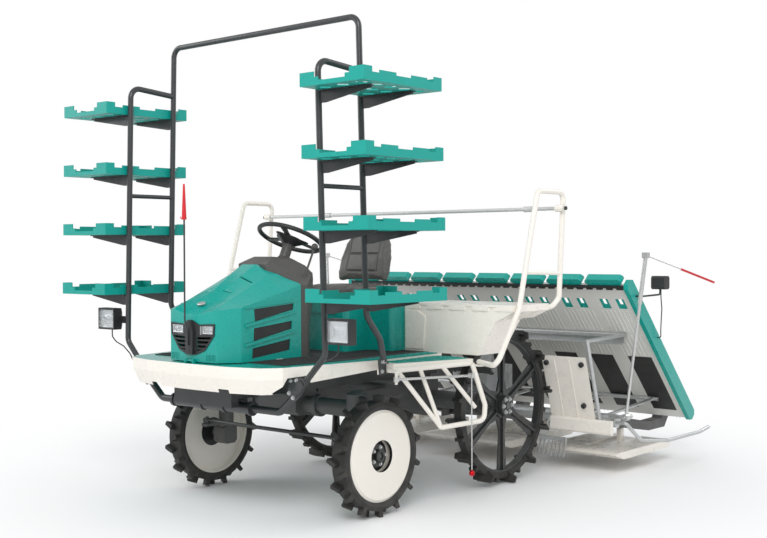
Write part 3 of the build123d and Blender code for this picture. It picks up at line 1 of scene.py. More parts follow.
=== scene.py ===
# %% [markdown]
# # A riding rice transplanter, dressed in Blender
#
# The CAD part gives every solid of the machine in metres, with its bodies and
# joints. This lesson puts finishes on those solids, and adds what a rigid CAD
# solid can't show well: the padded seat, the hood's rounded edges, fasteners,
# treads, pressed ribs and lamp dishes. Each step first says what the real piece
# is, how it could be made, and why this way was chosen.

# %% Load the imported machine
import math

import bmesh
import bpy
from mathutils import Matrix, Vector
from mathutils.bvhtree import BVHTree


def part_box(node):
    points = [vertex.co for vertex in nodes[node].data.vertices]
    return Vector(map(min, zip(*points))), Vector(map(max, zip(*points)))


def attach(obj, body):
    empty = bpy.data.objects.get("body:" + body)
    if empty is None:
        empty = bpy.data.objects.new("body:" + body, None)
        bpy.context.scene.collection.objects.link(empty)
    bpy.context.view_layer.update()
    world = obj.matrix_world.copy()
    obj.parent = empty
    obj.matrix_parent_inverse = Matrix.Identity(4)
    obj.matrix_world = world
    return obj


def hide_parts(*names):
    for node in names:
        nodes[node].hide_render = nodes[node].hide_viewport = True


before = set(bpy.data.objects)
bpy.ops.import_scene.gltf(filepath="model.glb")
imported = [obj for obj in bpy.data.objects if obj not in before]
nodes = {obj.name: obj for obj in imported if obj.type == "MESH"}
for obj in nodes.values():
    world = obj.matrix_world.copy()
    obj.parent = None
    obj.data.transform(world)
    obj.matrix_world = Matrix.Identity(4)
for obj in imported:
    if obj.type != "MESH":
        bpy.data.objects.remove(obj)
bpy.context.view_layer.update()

# %% [markdown]
# ## A shared zero for places
#
# The machine was measured from the middle of its front axle, in millimetres.
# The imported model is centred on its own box, so one helper turns a measured
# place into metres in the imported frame. The front tyre's box gives the shift.

# %% Measured places
tyre_low, tyre_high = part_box("front_tyre_left")
AXLE_Y = (tyre_low.y + tyre_high.y) / 2


def spot(x, y, z):
    return Vector((x / 1000, y / 1000 + AXLE_Y, z / 1000))


FRONT_HUB = spot(0, 0, 325)
REAR_HUB = spot(0, 1138, 480)
FLOAT_FRONT = 235
BEAM_Y = (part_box("floats")[0].y - AXLE_Y) * 1000 + FLOAT_FRONT
print("front axle at y", round(AXLE_Y, 4), "planting beam at", round(BEAM_Y, 1), "mm behind it")

# %% [markdown]
# ## Camera
#
# The photograph was taken a little above hood height, from the machine's front
# left. Its place, turn and focal length were fitted to measured corners, so
# the camera is set from those numbers and not by eye.

# %% Camera at the photograph's angle
PHOTO_WIDTH = 767
FOCAL_PIXELS = 1160.945
SENSOR_MM = 36
CLIP_END = 200
CAMERA_SPOT = spot(4739.08, -4683.52, 1424.87)
YAW, PITCH, ROLL = 2.279574534, -0.016149114, -0.003897811

forward = Vector((math.cos(PITCH) * math.cos(YAW), math.cos(PITCH) * math.sin(YAW),
                  math.sin(PITCH)))
level_right = forward.cross(Vector((0, 0, 1))).normalized()
level_up = level_right.cross(forward)
right = level_right * math.cos(ROLL) + level_up * math.sin(ROLL)
up = level_up * math.cos(ROLL) - level_right * math.sin(ROLL)
camera_data = bpy.data.cameras.new("photo_camera")
camera_data.sensor_width = SENSOR_MM
camera_data.lens = FOCAL_PIXELS / PHOTO_WIDTH * SENSOR_MM
camera_data.clip_end = CLIP_END
camera = bpy.data.objects.new("photo_camera", camera_data)
turn = Matrix((right, up, -forward)).transposed().to_4x4()
camera.matrix_world = Matrix.Translation(CAMERA_SPOT) @ turn
scene = bpy.context.scene
scene.collection.objects.link(camera)
scene.camera = camera
print("lens", round(camera_data.lens, 2), "mm")

# %% [markdown]
# ## Light, floor and backdrop
#
# A product picture has soft light from all round and a white backdrop, and one
# world can give both. The light that falls on the machine is weaker and a
# little blue. What the camera sees behind it, or through its glass, is white.

# %% World
SKY_COLOUR = (0.97, 0.985, 1.0, 1)
SKY_STRENGTH = 0.72
scene.view_settings.view_transform = "Standard"
world = bpy.data.worlds.new("studio")
scene.world = world
world.use_nodes = True
tree = world.node_tree
tree.nodes.clear()
out = tree.nodes.new("ShaderNodeOutputWorld")
mix = tree.nodes.new("ShaderNodeMixShader")
lit = tree.nodes.new("ShaderNodeBackground")
seen = tree.nodes.new("ShaderNodeBackground")
path = tree.nodes.new("ShaderNodeLightPath")
either = tree.nodes.new("ShaderNodeMath")
either.operation = "MAXIMUM"
lit.inputs["Color"].default_value = SKY_COLOUR
lit.inputs["Strength"].default_value = SKY_STRENGTH
seen.inputs["Color"].default_value = (1, 1, 1, 1)
seen.inputs["Strength"].default_value = 1.0
tree.links.new(path.outputs["Is Camera Ray"], either.inputs[0])
tree.links.new(path.outputs["Is Transmission Ray"], either.inputs[1])
tree.links.new(either.outputs[0], mix.inputs[0])
tree.links.new(lit.outputs[0], mix.inputs[1])
tree.links.new(seen.outputs[0], mix.inputs[2])
tree.links.new(mix.outputs[0], out.inputs["Surface"])
print("world", world.name)

# %% [markdown]
# Three large round lamps add direction. The key stands high to the front, a
# weaker one fills the far side, and a third lifts the planting unit's rear.
# All of them face the middle of the machine.

# %% Lamps of the studio
LAMP_AIM = Vector((0, 0, 0.9))
LAMP_SIZE = 5.0
# name, place in metres, watts
LAMPS = [
    ("key_lamp", (5.0, -7.0, 6.5), 420),
    ("side_lamp", (-7.0, -4.5, 4.5), 150),
    ("rear_lamp_soft", (3.5, 7.5, 6.0), 160),
]
for name, place, power in LAMPS:
    lamp = bpy.data.lights.new(name, "AREA")
    lamp.shape = "DISK"
    lamp.size = LAMP_SIZE
    lamp.energy = power
    holder = bpy.data.objects.new(name, lamp)
    holder.location = place
    holder.rotation_euler = (LAMP_AIM - Vector(place)).to_track_quat("-Z", "Y").to_euler()
    scene.collection.objects.link(holder)
print("lamps", len(LAMPS))

# %% [markdown]
# The floor is one large plane. Near the machine it is a plain pale surface
# that takes the shadow, and further out it fades into the white backdrop. The
# fade is the floor's own look for the camera, so it puts no light on the
# machine.

# %% Floor
FLOOR_HALF = 40
FLOOR_GREY = 0.93
FADE_FROM, FADE_TO = 1.7, 3.8
bpy.ops.object.select_all(action="DESELECT")
bpy.ops.mesh.primitive_plane_add(size=2 * FLOOR_HALF, location=(0, 0, 0))
floor = bpy.context.object
floor.name = "floor"
bpy.ops.object.mode_set(mode="EDIT")
bpy.ops.mesh.subdivide(number_cuts=3)
bpy.ops.object.mode_set(mode="OBJECT")
paper = bpy.data.materials.new("pale_floor")
paper.use_nodes = True
tree = paper.node_tree
tree.nodes.clear()
out = tree.nodes.new("ShaderNodeOutputMaterial")
coords = tree.nodes.new("ShaderNodeTexCoord")
length = tree.nodes.new("ShaderNodeVectorMath")
length.operation = "LENGTH"
fade = tree.nodes.new("ShaderNodeMapRange")
fade.interpolation_type = "SMOOTHSTEP"
fade.inputs["From Min"].default_value = FADE_FROM
fade.inputs["From Max"].default_value = FADE_TO
path = tree.nodes.new("ShaderNodeLightPath")
gate = tree.nodes.new("ShaderNodeMath")
gate.operation = "MULTIPLY"
ground = tree.nodes.new("ShaderNodeBsdfDiffuse")
ground.inputs["Color"].default_value = (FLOOR_GREY, FLOOR_GREY, FLOOR_GREY, 1)
white = tree.nodes.new("ShaderNodeEmission")
white.inputs["Strength"].default_value = 1.0
mix = tree.nodes.new("ShaderNodeMixShader")
tree.links.new(coords.outputs["Object"], length.inputs[0])
tree.links.new(length.outputs["Value"], fade.inputs["Value"])
tree.links.new(fade.outputs["Result"], gate.inputs[0])
tree.links.new(path.outputs["Is Camera Ray"], gate.inputs[1])
tree.links.new(gate.outputs[0], mix.inputs[0])
tree.links.new(ground.outputs[0], mix.inputs[1])
tree.links.new(white.outputs[0], mix.inputs[2])
tree.links.new(mix.outputs[0], out.inputs["Surface"])
floor.data.materials.append(paper)
print("floor", FLOOR_HALF * 2, "m")

# %% [markdown]
# ## Finishes
#
# Real paint, moulded plastic and rubber differ less by colour than by how even
# they are. Every finish is built from a few blocks: noise, a ramp that spreads
# it over a range, a comparison, and a blend of two colours. All of them read
# Object coordinates, so a pattern stays fixed to its piece as it moves.

# %% Shader building blocks
def object_place(tree):
    return tree.nodes.new("ShaderNodeTexCoord").outputs["Object"]


def noise(tree, place, size, detail):
    node = tree.nodes.new("ShaderNodeTexNoise")
    node.inputs["Scale"].default_value = size
    node.inputs["Detail"].default_value = detail
    tree.links.new(place, node.inputs["Vector"])
    return node.outputs["Fac"]


def ramp(tree, value, low, high, first, last):
    node = tree.nodes.new("ShaderNodeMapRange")
    tree.links.new(value, node.inputs["Value"])
    node.inputs["From Min"].default_value = low
    node.inputs["From Max"].default_value = high
    node.inputs["To Min"].default_value = first
    node.inputs["To Max"].default_value = last
    return node.outputs["Result"]


def along(tree, place, axis):
    split = tree.nodes.new("ShaderNodeSeparateXYZ")
    tree.links.new(place, split.inputs[0])
    return split.outputs[axis]


def reckon(tree, operation, first, second):
    """A maths node on a value and a second one, which may be a plain number."""
    node = tree.nodes.new("ShaderNodeMath")
    node.operation = operation
    tree.links.new(first, node.inputs[0])
    if isinstance(second, float):
        node.inputs[1].default_value = second
    else:
        tree.links.new(second, node.inputs[1])
    return node.outputs[0]


def blend_colour(tree, share, first, second):
    """Mixes two colours, each a plain colour or the output of another node."""
    node = tree.nodes.new("ShaderNodeMix")
    node.data_type = "RGBA"
    tree.links.new(share, node.inputs["Factor"])
    for socket, value in (("A", first), ("B", second)):
        target = [s for s in node.inputs if s.name == socket and s.type == "RGBA"][0]
        if isinstance(value, tuple):
            target.default_value = (*value, 1)
        else:
            tree.links.new(value, target)
    return [s for s in node.outputs if s.type == "RGBA"][0]


# %% [markdown]
# Some finishes change over the piece. Dry dust gathers low down in patches. A
# rod has a painted tip that starts at one place. A wheel cover has a dark round
# middle. Each is one more colour blended over the paint below it.

# %% Dust, tips and dark middles
PATCH_SIZE = 22.0


def dusted(tree, place, paint, colour, top, share):
    height = ramp(tree, along(tree, place, "Z"), 0.0, top, share, 0.0)
    patches = ramp(tree, noise(tree, place, PATCH_SIZE, 5.0), 0.35, 0.7, 0.2, 1.0)
    return blend_colour(tree, reckon(tree, "MULTIPLY", height, patches), paint, colour)


def tipped(tree, place, paint, axis, side, start, colour):
    operation = "GREATER_THAN" if side == "past" else "LESS_THAN"
    beyond = reckon(tree, operation, along(tree, place, axis), start)
    return blend_colour(tree, beyond, paint, colour)


def dark_middle(tree, place, paint, centre, radius, colour):
    """Measures the distance from a wheel's axis, which runs along x."""
    flat = tree.nodes.new("ShaderNodeVectorMath")
    flat.operation = "MULTIPLY"
    flat.inputs[1].default_value = (0, 1, 1)
    away = tree.nodes.new("ShaderNodeVectorMath")
    away.operation = "DISTANCE"
    away.inputs[1].default_value = (0, centre.y, centre.z)
    tree.links.new(place, flat.inputs[0])
    tree.links.new(flat.outputs["Vector"], away.inputs[0])
    within = reckon(tree, "LESS_THAN", away.outputs["Value"], radius)
    return blend_colour(tree, within, paint, colour)


# %% [markdown]
# One helper then makes a whole finish: a colour that drifts slowly, gloss that
# is uneven at a smaller scale, and a fine grain. Plain numbers go on the
# shader's own sockets, which an export keeps.

# %% The finish helper
COAT_ROUGHNESS = 0.08
GLOSS_PATCH_SIZE = 14.0
GRAIN_DEPTH = 0.0006


def lower(colour, share):
    return tuple(value * share for value in colour)


def finish(name, colour, rough, metal=0.0, coat=0.0, specular=0.5, drift=0.08, drift_size=1.6,
           rough_spread=0.08, grain=0.0, grain_size=600.0, dust=None, tip=None, middle=None):
    material = bpy.data.materials.new(name)
    material.use_nodes = True
    tree = material.node_tree
    shader = tree.nodes["Principled BSDF"]
    shader.inputs["Metallic"].default_value = metal
    shader.inputs["Coat Weight"].default_value = coat
    shader.inputs["Coat Roughness"].default_value = COAT_ROUGHNESS
    shader.inputs["Specular IOR Level"].default_value = specular
    place = object_place(tree)
    paint = blend_colour(tree, noise(tree, place, drift_size, 3.0),
                         lower(colour, 1 + drift), lower(colour, 1 - drift))
    if dust:
        paint = dusted(tree, place, paint, *dust)
    if tip:
        paint = tipped(tree, place, paint, *tip)
    if middle:
        paint = dark_middle(tree, place, paint, *middle)
    tree.links.new(paint, shader.inputs["Base Color"])
    uneven = noise(tree, place, GLOSS_PATCH_SIZE, 4.0)
    gloss = ramp(tree, uneven, 0.3, 0.7, rough - rough_spread, rough + rough_spread)
    tree.links.new(gloss, shader.inputs["Roughness"])
    if grain:
        bump = tree.nodes.new("ShaderNodeBump")
        bump.inputs["Strength"].default_value = grain
        bump.inputs["Distance"].default_value = GRAIN_DEPTH
        tree.links.new(noise(tree, place, grain_size, 2.0), bump.inputs["Height"])
        tree.links.new(bump.outputs["Normal"], shader.inputs["Normal"])
    return material


# %% [markdown]
# The moulded panels are glossy teal and cream. The shelves and step grips are
# the same plastic with a duller, grained face. The seat is grey vinyl, and the
# dash, levers and lamp bodies are grained plastic.

# %% Panels and plastics
TEAL = (0.004, 0.345, 0.292)
CREAM = (0.87, 0.825, 0.755)
DUST = (0.30, 0.27, 0.22)
RED = (0.62, 0.012, 0.02)
NEAR_BLACK = (0.018, 0.018, 0.018)
COVER_MIDDLE_RADIUS = 0.0855
teal_gloss = finish("teal_gloss", TEAL, 0.27, coat=0.25, specular=0.38, drift=0.03,
                    rough_spread=0.03)
teal_moulded = finish("teal_moulded", lower(TEAL, 0.95), 0.40, specular=0.36, drift=0.05,
                      rough_spread=0.04, grain=0.10, grain_size=420.0)
cream_gloss = finish("cream_gloss", CREAM, 0.28, coat=0.2, drift=0.015, rough_spread=0.02)
cream_paint = finish("cream_paint", lower(CREAM, 0.98), 0.34, coat=0.15, drift=0.02,
                     rough_spread=0.03)
cream_wheel = finish("cream_wheel", CREAM, 0.32, coat=0.15, drift=0.02, rough_spread=0.03,
                     dust=(DUST, 0.5, 0.05), middle=(FRONT_HUB, COVER_MIDDLE_RADIUS, NEAR_BLACK))
black_plastic = finish("black_plastic", (0.022, 0.022, 0.023), 0.46, drift=0.15, grain=0.25,
                       grain_size=900.0)
grey_dash = finish("grey_dash", (0.082, 0.079, 0.073), 0.46, drift=0.05, grain=0.2,
                   grain_size=800.0)
seat_vinyl = finish("seat_vinyl", (0.105, 0.102, 0.093), 0.42, drift=0.06, grain=0.5,
                    grain_size=520.0)
mat_rubber = finish("mat_rubber", (0.03, 0.03, 0.03), 0.7, drift=0.2, grain=0.4,
                    grain_size=700.0)
tyre_rubber = finish("tyre_rubber", (0.017, 0.017, 0.017), 0.66, drift=0.25, drift_size=7.0,
                     grain=0.5, grain_size=380.0, dust=(DUST, 0.9, 0.12))
stage_sheet = finish("stage_sheet", (0.74, 0.735, 0.70), 0.42, drift=0.03, grain=0.08,
                     grain_size=500.0)
print("finishes", len(bpy.data.materials))

# %% [markdown]
# The frame is black paint, the racks are dark grey paint, and the gear cases
# are rough castings. The planting unit's tubes are galvanised, so their colour
# drifts in small patches. The red tips of the marker rods are paint on one
# plain solid, so those finishes change colour at a place.

# %% Metals
POLE_TIP_Z = 1589
LINE_MARKER_TIP_Y = 2155
SIDE_MARKER_TIP_Z = 222
black_paint = finish("black_paint", (0.024, 0.025, 0.026), 0.36, coat=0.15, drift=0.12,
                     dust=(DUST, 0.6, 0.10))
tube_paint = finish("tube_paint", (0.035, 0.038, 0.040), 0.34, coat=0.2, drift=0.1, grain=0.06)
cast_grey = finish("cast_grey", (0.10, 0.10, 0.10), 0.55, drift=0.2, grain=0.5,
                   grain_size=260.0, dust=(DUST, 0.7, 0.15))
light_tube = finish("light_tube", (0.60, 0.61, 0.60), 0.34, metal=0.25, drift=0.06, grain=0.05)
zinc = finish("zinc", (0.56, 0.57, 0.57), 0.38, metal=0.75, drift=0.16, drift_size=40.0,
              grain=0.1, grain_size=300.0)
bare_steel = finish("bare_steel", (0.58, 0.58, 0.57), 0.3, metal=0.95, drift=0.1, grain=0.12,
                    grain_size=420.0)
chrome_rod = finish("chrome_rod", (0.80, 0.80, 0.80), 0.12, metal=1.0, drift=0.03,
                    rough_spread=0.03)
mirror_coat = finish("mirror_coat", (0.90, 0.91, 0.92), 0.16, metal=0.55, drift=0.03,
                     rough_spread=0.04)
pole_paint = finish("pole_paint", (0.035, 0.038, 0.040), 0.35,
                    tip=("Z", "past", spot(0, 0, POLE_TIP_Z).z, RED))
marker_steel = finish("marker_steel", (0.60, 0.60, 0.59), 0.28, metal=0.85, drift=0.1,
                      tip=("Y", "past", spot(0, LINE_MARKER_TIP_Y, 0).y, RED))
hanging_steel = finish("hanging_steel", (0.60, 0.60, 0.59), 0.28, metal=0.85, drift=0.1,
                       tip=("Z", "below", spot(0, 0, SIDE_MARKER_TIP_Z).z, RED))
print("finishes", len(bpy.data.materials))

# %% [markdown]
# Lamp glass is clear and thin. A transmission shader with a little tint shows
# the dish behind it. Fine ribs on the lens come from a wave on Object
# coordinates, which bends the highlights as moulded glass does.

# %% Lamp glass
GLASS_TINT = (0.93, 0.95, 0.96, 1)
LENS_RIBS = 45.0
lamp_glass = bpy.data.materials.new("lamp_glass")
lamp_glass.use_nodes = True
tree = lamp_glass.node_tree
shader = tree.nodes["Principled BSDF"]
shader.inputs["Base Color"].default_value = GLASS_TINT
shader.inputs["Roughness"].default_value = 0.05
shader.inputs["Transmission Weight"].default_value = 0.9
shader.inputs["IOR"].default_value = 1.45
wave = tree.nodes.new("ShaderNodeTexWave")
wave.inputs["Scale"].default_value = LENS_RIBS
bump = tree.nodes.new("ShaderNodeBump")
bump.inputs["Strength"].default_value = 0.25
bump.inputs["Distance"].default_value = 0.001
tree.links.new(object_place(tree), wave.inputs["Vector"])
tree.links.new(wave.outputs["Fac"], bump.inputs["Height"])
tree.links.new(bump.outputs["Normal"], shader.inputs["Normal"])
print("glass", lamp_glass.name)

# %% [markdown]
# Every CAD node takes the finish of its real material. A part that the machine
# has twice, left and right, gets the same one on both sides.

# %% Finishes onto the CAD nodes
NODE_FINISH = {
    "chassis_frame": black_paint, "engine_block": cast_grey, "gearbox": cast_grey,
    "front_axle": cast_grey, "rear_axle": cast_grey, "deck": teal_gloss,
    "front_skirt": cream_gloss, "floor_mats": mat_rubber, "step_frames": cream_paint,
    "step_grips": teal_moulded, "hood_shell": teal_gloss, "grille": black_plastic,
    "headlamps": lamp_glass, "marker_pole": pole_paint, "dash": grey_dash,
    "steering_wheel": black_plastic, "seat_base": teal_gloss, "seat_cushion": seat_vinyl,
    "seat_back": seat_vinyl, "rear_deck": cream_gloss, "guard_rails": cream_paint,
    "crossbar": light_tube, "rack_posts": tube_paint, "top_bow": tube_paint,
    "rack_carrier": tube_paint, "work_lamps": black_plastic, "lamp_lenses": lamp_glass,
    "lamp_cables": black_plastic, "lower_links": black_paint, "upper_links": black_paint,
    "lift_barrel": black_paint, "lift_rod": chrome_rod, "planting_frame": zinc,
    "planting_cases": cast_grey, "planting_rotors": bare_steel, "floats": cream_gloss,
    "seedling_stage": stage_sheet, "stage_belts": black_plastic, "stage_rails": teal_gloss,
    "rear_lamps": black_plastic, "rear_lamp_cables": black_plastic,
    "mud_shields": cream_gloss, "side_bumpers": zinc, "tie_rod": black_paint,
    "shelves": teal_moulded, "shelf_brackets": black_paint,
}
for side in ("left", "right"):
    NODE_FINISH[f"knuckle_{side}"] = cast_grey
    NODE_FINISH[f"front_tyre_{side}"] = tyre_rubber
    NODE_FINISH[f"front_disc_{side}"] = cream_wheel
    NODE_FINISH[f"rear_tyre_{side}"] = tyre_rubber
    NODE_FINISH[f"rear_spider_{side}"] = black_paint
    NODE_FINISH[f"side_marker_{side}"] = hanging_steel
    NODE_FINISH[f"line_marker_{side}"] = marker_steel
for name, node in nodes.items():
    node.data.materials.clear()
    node.data.materials.append(NODE_FINISH[name])
print("nodes finished", len(nodes))

# %% [markdown]
# ## Ways of making pieces
#
# An operator acts on whatever is selected, so each piece starts with nothing
# selected. A primitive's place and size go into its mesh at once, because a
# finished piece sits at the origin as the CAD nodes do.

# %% Selecting and starting a piece
def clear_selection():
    bpy.ops.object.select_all(action="DESELECT")


def only(piece):
    clear_selection()
    piece.select_set(True)
    bpy.context.view_layer.objects.active = piece


def settled(piece):
    """Moves a piece's place into its mesh, because a finished piece sits at the origin."""
    only(piece)
    bpy.ops.object.transform_apply(location=True, rotation=True, scale=True)
    return piece


def new_box(size, middle=(0, 0, 0)):
    clear_selection()
    bpy.ops.mesh.primitive_cube_add(size=1, location=middle, scale=size)
    return settled(bpy.context.object)


def new_cylinder(sides, radius, depth, middle_z):
    clear_selection()
    bpy.ops.mesh.primitive_cylinder_add(vertices=sides, radius=radius, depth=depth,
                                        location=(0, 0, middle_z))
    return settled(bpy.context.object)


# %% [markdown]
# Most small pieces are a box or a cylinder whose outer face is inset and moved
# a few times. One helper does that from a short list of steps, each with the
# width of the rim and the move that follows it.

# %% Shaping faces
STAY = (0, 0, 0)


def faces_up(middle, normal):
    return normal.z > 0.9


def faces_front(middle, normal):
    return normal.y < -0.9


def pick_faces(piece, wanted):
    """In edit mode, selects the faces whose middle and normal pass the test."""
    only(piece)
    bpy.ops.object.mode_set(mode="EDIT")
    bpy.ops.mesh.select_mode(type="FACE")
    bpy.ops.mesh.select_all(action="DESELECT")
    mesh = bmesh.from_edit_mesh(piece.data)
    for face in mesh.faces:
        if wanted(face.calc_center_median(), face.normal):
            face.select_set(True)
    bmesh.update_edit_mesh(piece.data)


def edit_done():
    bpy.ops.object.mode_set(mode="OBJECT")


def stepped(piece, wanted, steps, each_alone=False):
    """Insets the wanted faces and moves them, once for each rim and move."""
    pick_faces(piece, wanted)
    for rim, move in steps:
        bpy.ops.mesh.inset(thickness=rim, use_individual=each_alone)
        bpy.ops.transform.translate(value=move)
    edit_done()
    return piece


def applied(piece, kind, **values):
    only(piece)
    modifier = piece.modifiers.new(kind.lower(), kind)
    for key, value in values.items():
        setattr(modifier, key, value)
    bpy.ops.object.modifier_apply(modifier=modifier.name)


# %% [markdown]
# A repeated piece is modelled once and copied to its places, each copy with a
# mesh of its own. The copies are joined into one object, which then rides its
# CAD body and takes its finish. A place is a point and the direction that the
# piece's own z axis should take there.

# %% Copying, joining and dressing
def joined(pieces, name):
    clear_selection()
    for piece in pieces:
        piece.select_set(True)
    bpy.context.view_layer.objects.active = pieces[0]
    if len(pieces) > 1:
        bpy.ops.object.join()
    result = bpy.context.view_layer.objects.active
    result.name = name
    result.data.name = name
    return result


def moved_copy(piece, move):
    copy = piece.copy()
    copy.data = piece.data.copy()
    scene.collection.objects.link(copy)
    copy.data.transform(move)
    copy.matrix_world = Matrix.Identity(4)
    return copy


def placed(place, way):
    turn = Vector(way).to_track_quat("Z", "Y").to_matrix().to_4x4()
    return Matrix.Translation(place) @ turn


def dressed(piece, body, material, smooth=35):
    settled(piece)
    if smooth:
        bpy.ops.object.shade_smooth_by_angle(angle=math.radians(smooth))
    piece.data.materials.clear()
    piece.data.materials.append(material)
    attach(piece, body)
    print(piece.name, "faces", len(piece.data.polygons))
    return piece


def repeated(model, name, places, body, material, smooth=35):
    copies = [moved_copy(model, placed(place, way)) for place, way in places]
    bpy.data.objects.remove(model)
    return dressed(joined(copies, name), body, material, smooth)


def both_sides(places):
    flipped = [(Vector((-place.x, place.y, place.z)), (-way[0], way[1], way[2]))
               for place, way in places]
    return places + flipped


# %% [markdown]
# ## Hex bolts
#
# Bolts are too small and too many for the CAD part, and a bump in the paint
# would not stand out at the plate's edge. One is a six-sided cylinder whose top
# is drawn in, with a washer under it. It is modelled once for each use, and
# then copied to every place where plates are joined.

# %% One bolt
def bolt(radius):
    """Stands on z = 0. Every size is a share of the head's radius."""
    head = new_cylinder(6, radius, radius, radius * 0.68)
    stepped(head, faces_up, [(radius * 0.14, (0, 0, radius * 0.1))])
    washer = new_cylinder(16, radius * 1.45, radius * 0.2, radius * 0.1)
    stepped(washer, faces_up, [(radius * 0.1, STAY)])
    return joined([head, washer], "bolt_model")


# %% [markdown]
# Each rack is held by four bolts through its gusset, which faces forward, and
# by three through its foot, which faces outward. They are placed on the left
# side and mirrored.

# %% Bolts of the racks
OUT = (1, 0, 0)
FRONT = (0, -1, 0)
UP = (0, 0, 1)
RACK_BOLT = 0.008
GUSSET_Y = -546.4
GUSSET_BOLTS_XZ = ((572, 768), (614, 771), (560, 704), (588, 682))
FOOT_X = 754.1
FOOT_BOLTS_YZ = ((-48, 838), (-52, 786), (-30, 836))
gusset = [(spot(x, GUSSET_Y, z), FRONT) for x, z in GUSSET_BOLTS_XZ]
foot = [(spot(FOOT_X, y, z), OUT) for y, z in FOOT_BOLTS_YZ]
repeated(bolt(RACK_BOLT), "rack_bolts", both_sides(gusset + foot), "machine",
         zinc)

# %% [markdown]
# The wheels are held by a ring of nuts round each hub. The front ones sit in
# the dark middle of the white cover, the rear ones on the spider's black hub.
# They ride the wheels, so they turn with them.

# %% Wheel nuts
FRONT_NUTS = {"out": 682.1, "ring": 0.047, "count": 5, "size": 0.008}
REAR_NUTS = {"out": 735.1, "ring": 0.043, "count": 6, "size": 0.009}


def nut_ring(hub, sign, nuts):
    centre = hub + Vector((sign * nuts["out"] / 1000, 0, 0))
    turns = [2 * math.pi * step / nuts["count"] for step in range(nuts["count"])]
    ring = nuts["ring"]
    return [(centre + Vector((0, ring * math.cos(t), ring * math.sin(t))), (sign, 0, 0))
            for t in turns]


for side, sign in (("left", 1), ("right", -1)):
    for end, hub, nuts in (("front", FRONT_HUB, FRONT_NUTS), ("rear", REAR_HUB, REAR_NUTS)):
        repeated(bolt(nuts["size"]), f"{end}_nuts_{side}", nut_ring(hub, sign, nuts),
                 f"{end}_wheel_{side}", zinc)

# %% [markdown]
# ## Treads underfoot
#
# The deck's green edges and the boarding steps carry small raised cleats. They
# could be bump in the plastic's finish, but they catch the light from low
# angles, so they are real. One cleat is a box whose top is inset and raised.
# Every other row is shifted a little, as on real tread, and a step's rows grow
# with its slanted outer edge.

# %% Cleats
CLEAT_SIZE = (0.012, 0.026, 0.0026)
ROW_SHIFT = 8
DECK_ROWS, DECK_COLUMNS = 19, 3
DECK_FIRST_X, DECK_PITCH_X = 620, 20
DECK_FIRST_Y, DECK_PITCH_Y = -40, 29
DECK_Z = 842.3
STEP_ROWS = 14
STEP_FIRST_X, STEP_PITCH_X = 716, 26
STEP_FIRST_Y, STEP_PITCH_Y = 60, 31
STEP_EDGE_X, STEP_EDGE_SLANT = 750, 0.3
STEP_Z = 828.3
cleat = stepped(new_box(CLEAT_SIZE, (0, 0, CLEAT_SIZE[2] / 2)), faces_up,
                [(0.002, (0, 0, 0.0006))])
cleats = []
for row in range(DECK_ROWS):
    y = DECK_FIRST_Y + row * DECK_PITCH_Y
    for column in range(DECK_COLUMNS):
        x = DECK_FIRST_X + column * DECK_PITCH_X + row % 2 * ROW_SHIFT
        cleats.append((spot(x, y, DECK_Z), UP))
for row in range(STEP_ROWS):
    y = STEP_FIRST_Y + row * STEP_PITCH_Y
    x = STEP_FIRST_X
    while x < STEP_EDGE_X + STEP_EDGE_SLANT * y:
        cleats.append((spot(x + row % 2 * ROW_SHIFT, y, STEP_Z), UP))
        x += STEP_PITCH_X
repeated(cleat, "grip_cleats", both_sides(cleats), "machine", teal_moulded, 0)

# %% [markdown]
# The black mats lie in the middle of the deck. Their ribs run fore and aft, so
# that water and mud drain off. A few long boxes show them better than a wave
# in the finish, because the mat's ends are cut straight through them. The ribs
# in front of the seat end earlier than those that pass beside it.

# %% Mat ribs
MAT_RIB_COUNT = 13
MAT_RIB_X, MAT_RIB_PITCH = 282, 19
MAT_RIB_Z = 843.4
MAT_FRONT_Y = -520
SEAT_SIDE_X, BEFORE_SEAT_Y, BESIDE_SEAT_Y = 425, 415, 525
MAT_RIB_WIDTH, MAT_RIB_HEIGHT = 0.008, 0.0022


def mat_rib(x, rear_y):
    size = (MAT_RIB_WIDTH, (rear_y - MAT_FRONT_Y) / 1000, MAT_RIB_HEIGHT)
    rib = new_box(size, spot(x, (MAT_FRONT_Y + rear_y) / 2, MAT_RIB_Z))
    return stepped(rib, faces_up, [(0.002, (0, 0, 0.0006))])


mat_ribs = []
for step in range(MAT_RIB_COUNT):
    x = MAT_RIB_X + MAT_RIB_PITCH * step
    rear_y = BEFORE_SEAT_Y if x < SEAT_SIDE_X else BESIDE_SEAT_Y
    mat_ribs += [mat_rib(x, rear_y), mat_rib(-x, rear_y)]
dressed(joined(mat_ribs, "mat_ribs"), "machine", mat_rubber, 0)

# %% [markdown]
# ## Lamps
#
# Behind each clear lens sits a bright dish. It starts as a thin box, whose
# front face is inset and pushed three times, so that its edge is sunk and its
# middle stands forward. The glass then has something to show.

# %% Work lamp dishes
LAMP_DISH = (0.126, 0.004, 0.101)
DISH_STEPS = [(0.006, (0, 0.0015, 0)), (0.018, (0, 0.0012, 0)), (0.016, (0, -0.0045, 0))]
WORK_LAMP_X, DISH_Y, WORK_LAMP_Z = 925, -563.2, 1030
dish = stepped(new_box(LAMP_DISH), faces_front, DISH_STEPS)
dishes = [moved_copy(dish, Matrix.Translation(spot(sign * WORK_LAMP_X, DISH_Y, WORK_LAMP_Z)))
          for sign in (1, -1)]
bpy.data.objects.remove(dish)
dressed(joined(dishes, "work_lamp_dishes"), "machine", mirror_coat, 0)

# %% [markdown]
# The headlamps sit in one dark mask, each with two bowls side by side. A spun
# bowl would be round, and these are nearly square, so a thin plate is cut in
# two halves, and each half is inset and sunk on its own. The other lamp is its
# mirror image.

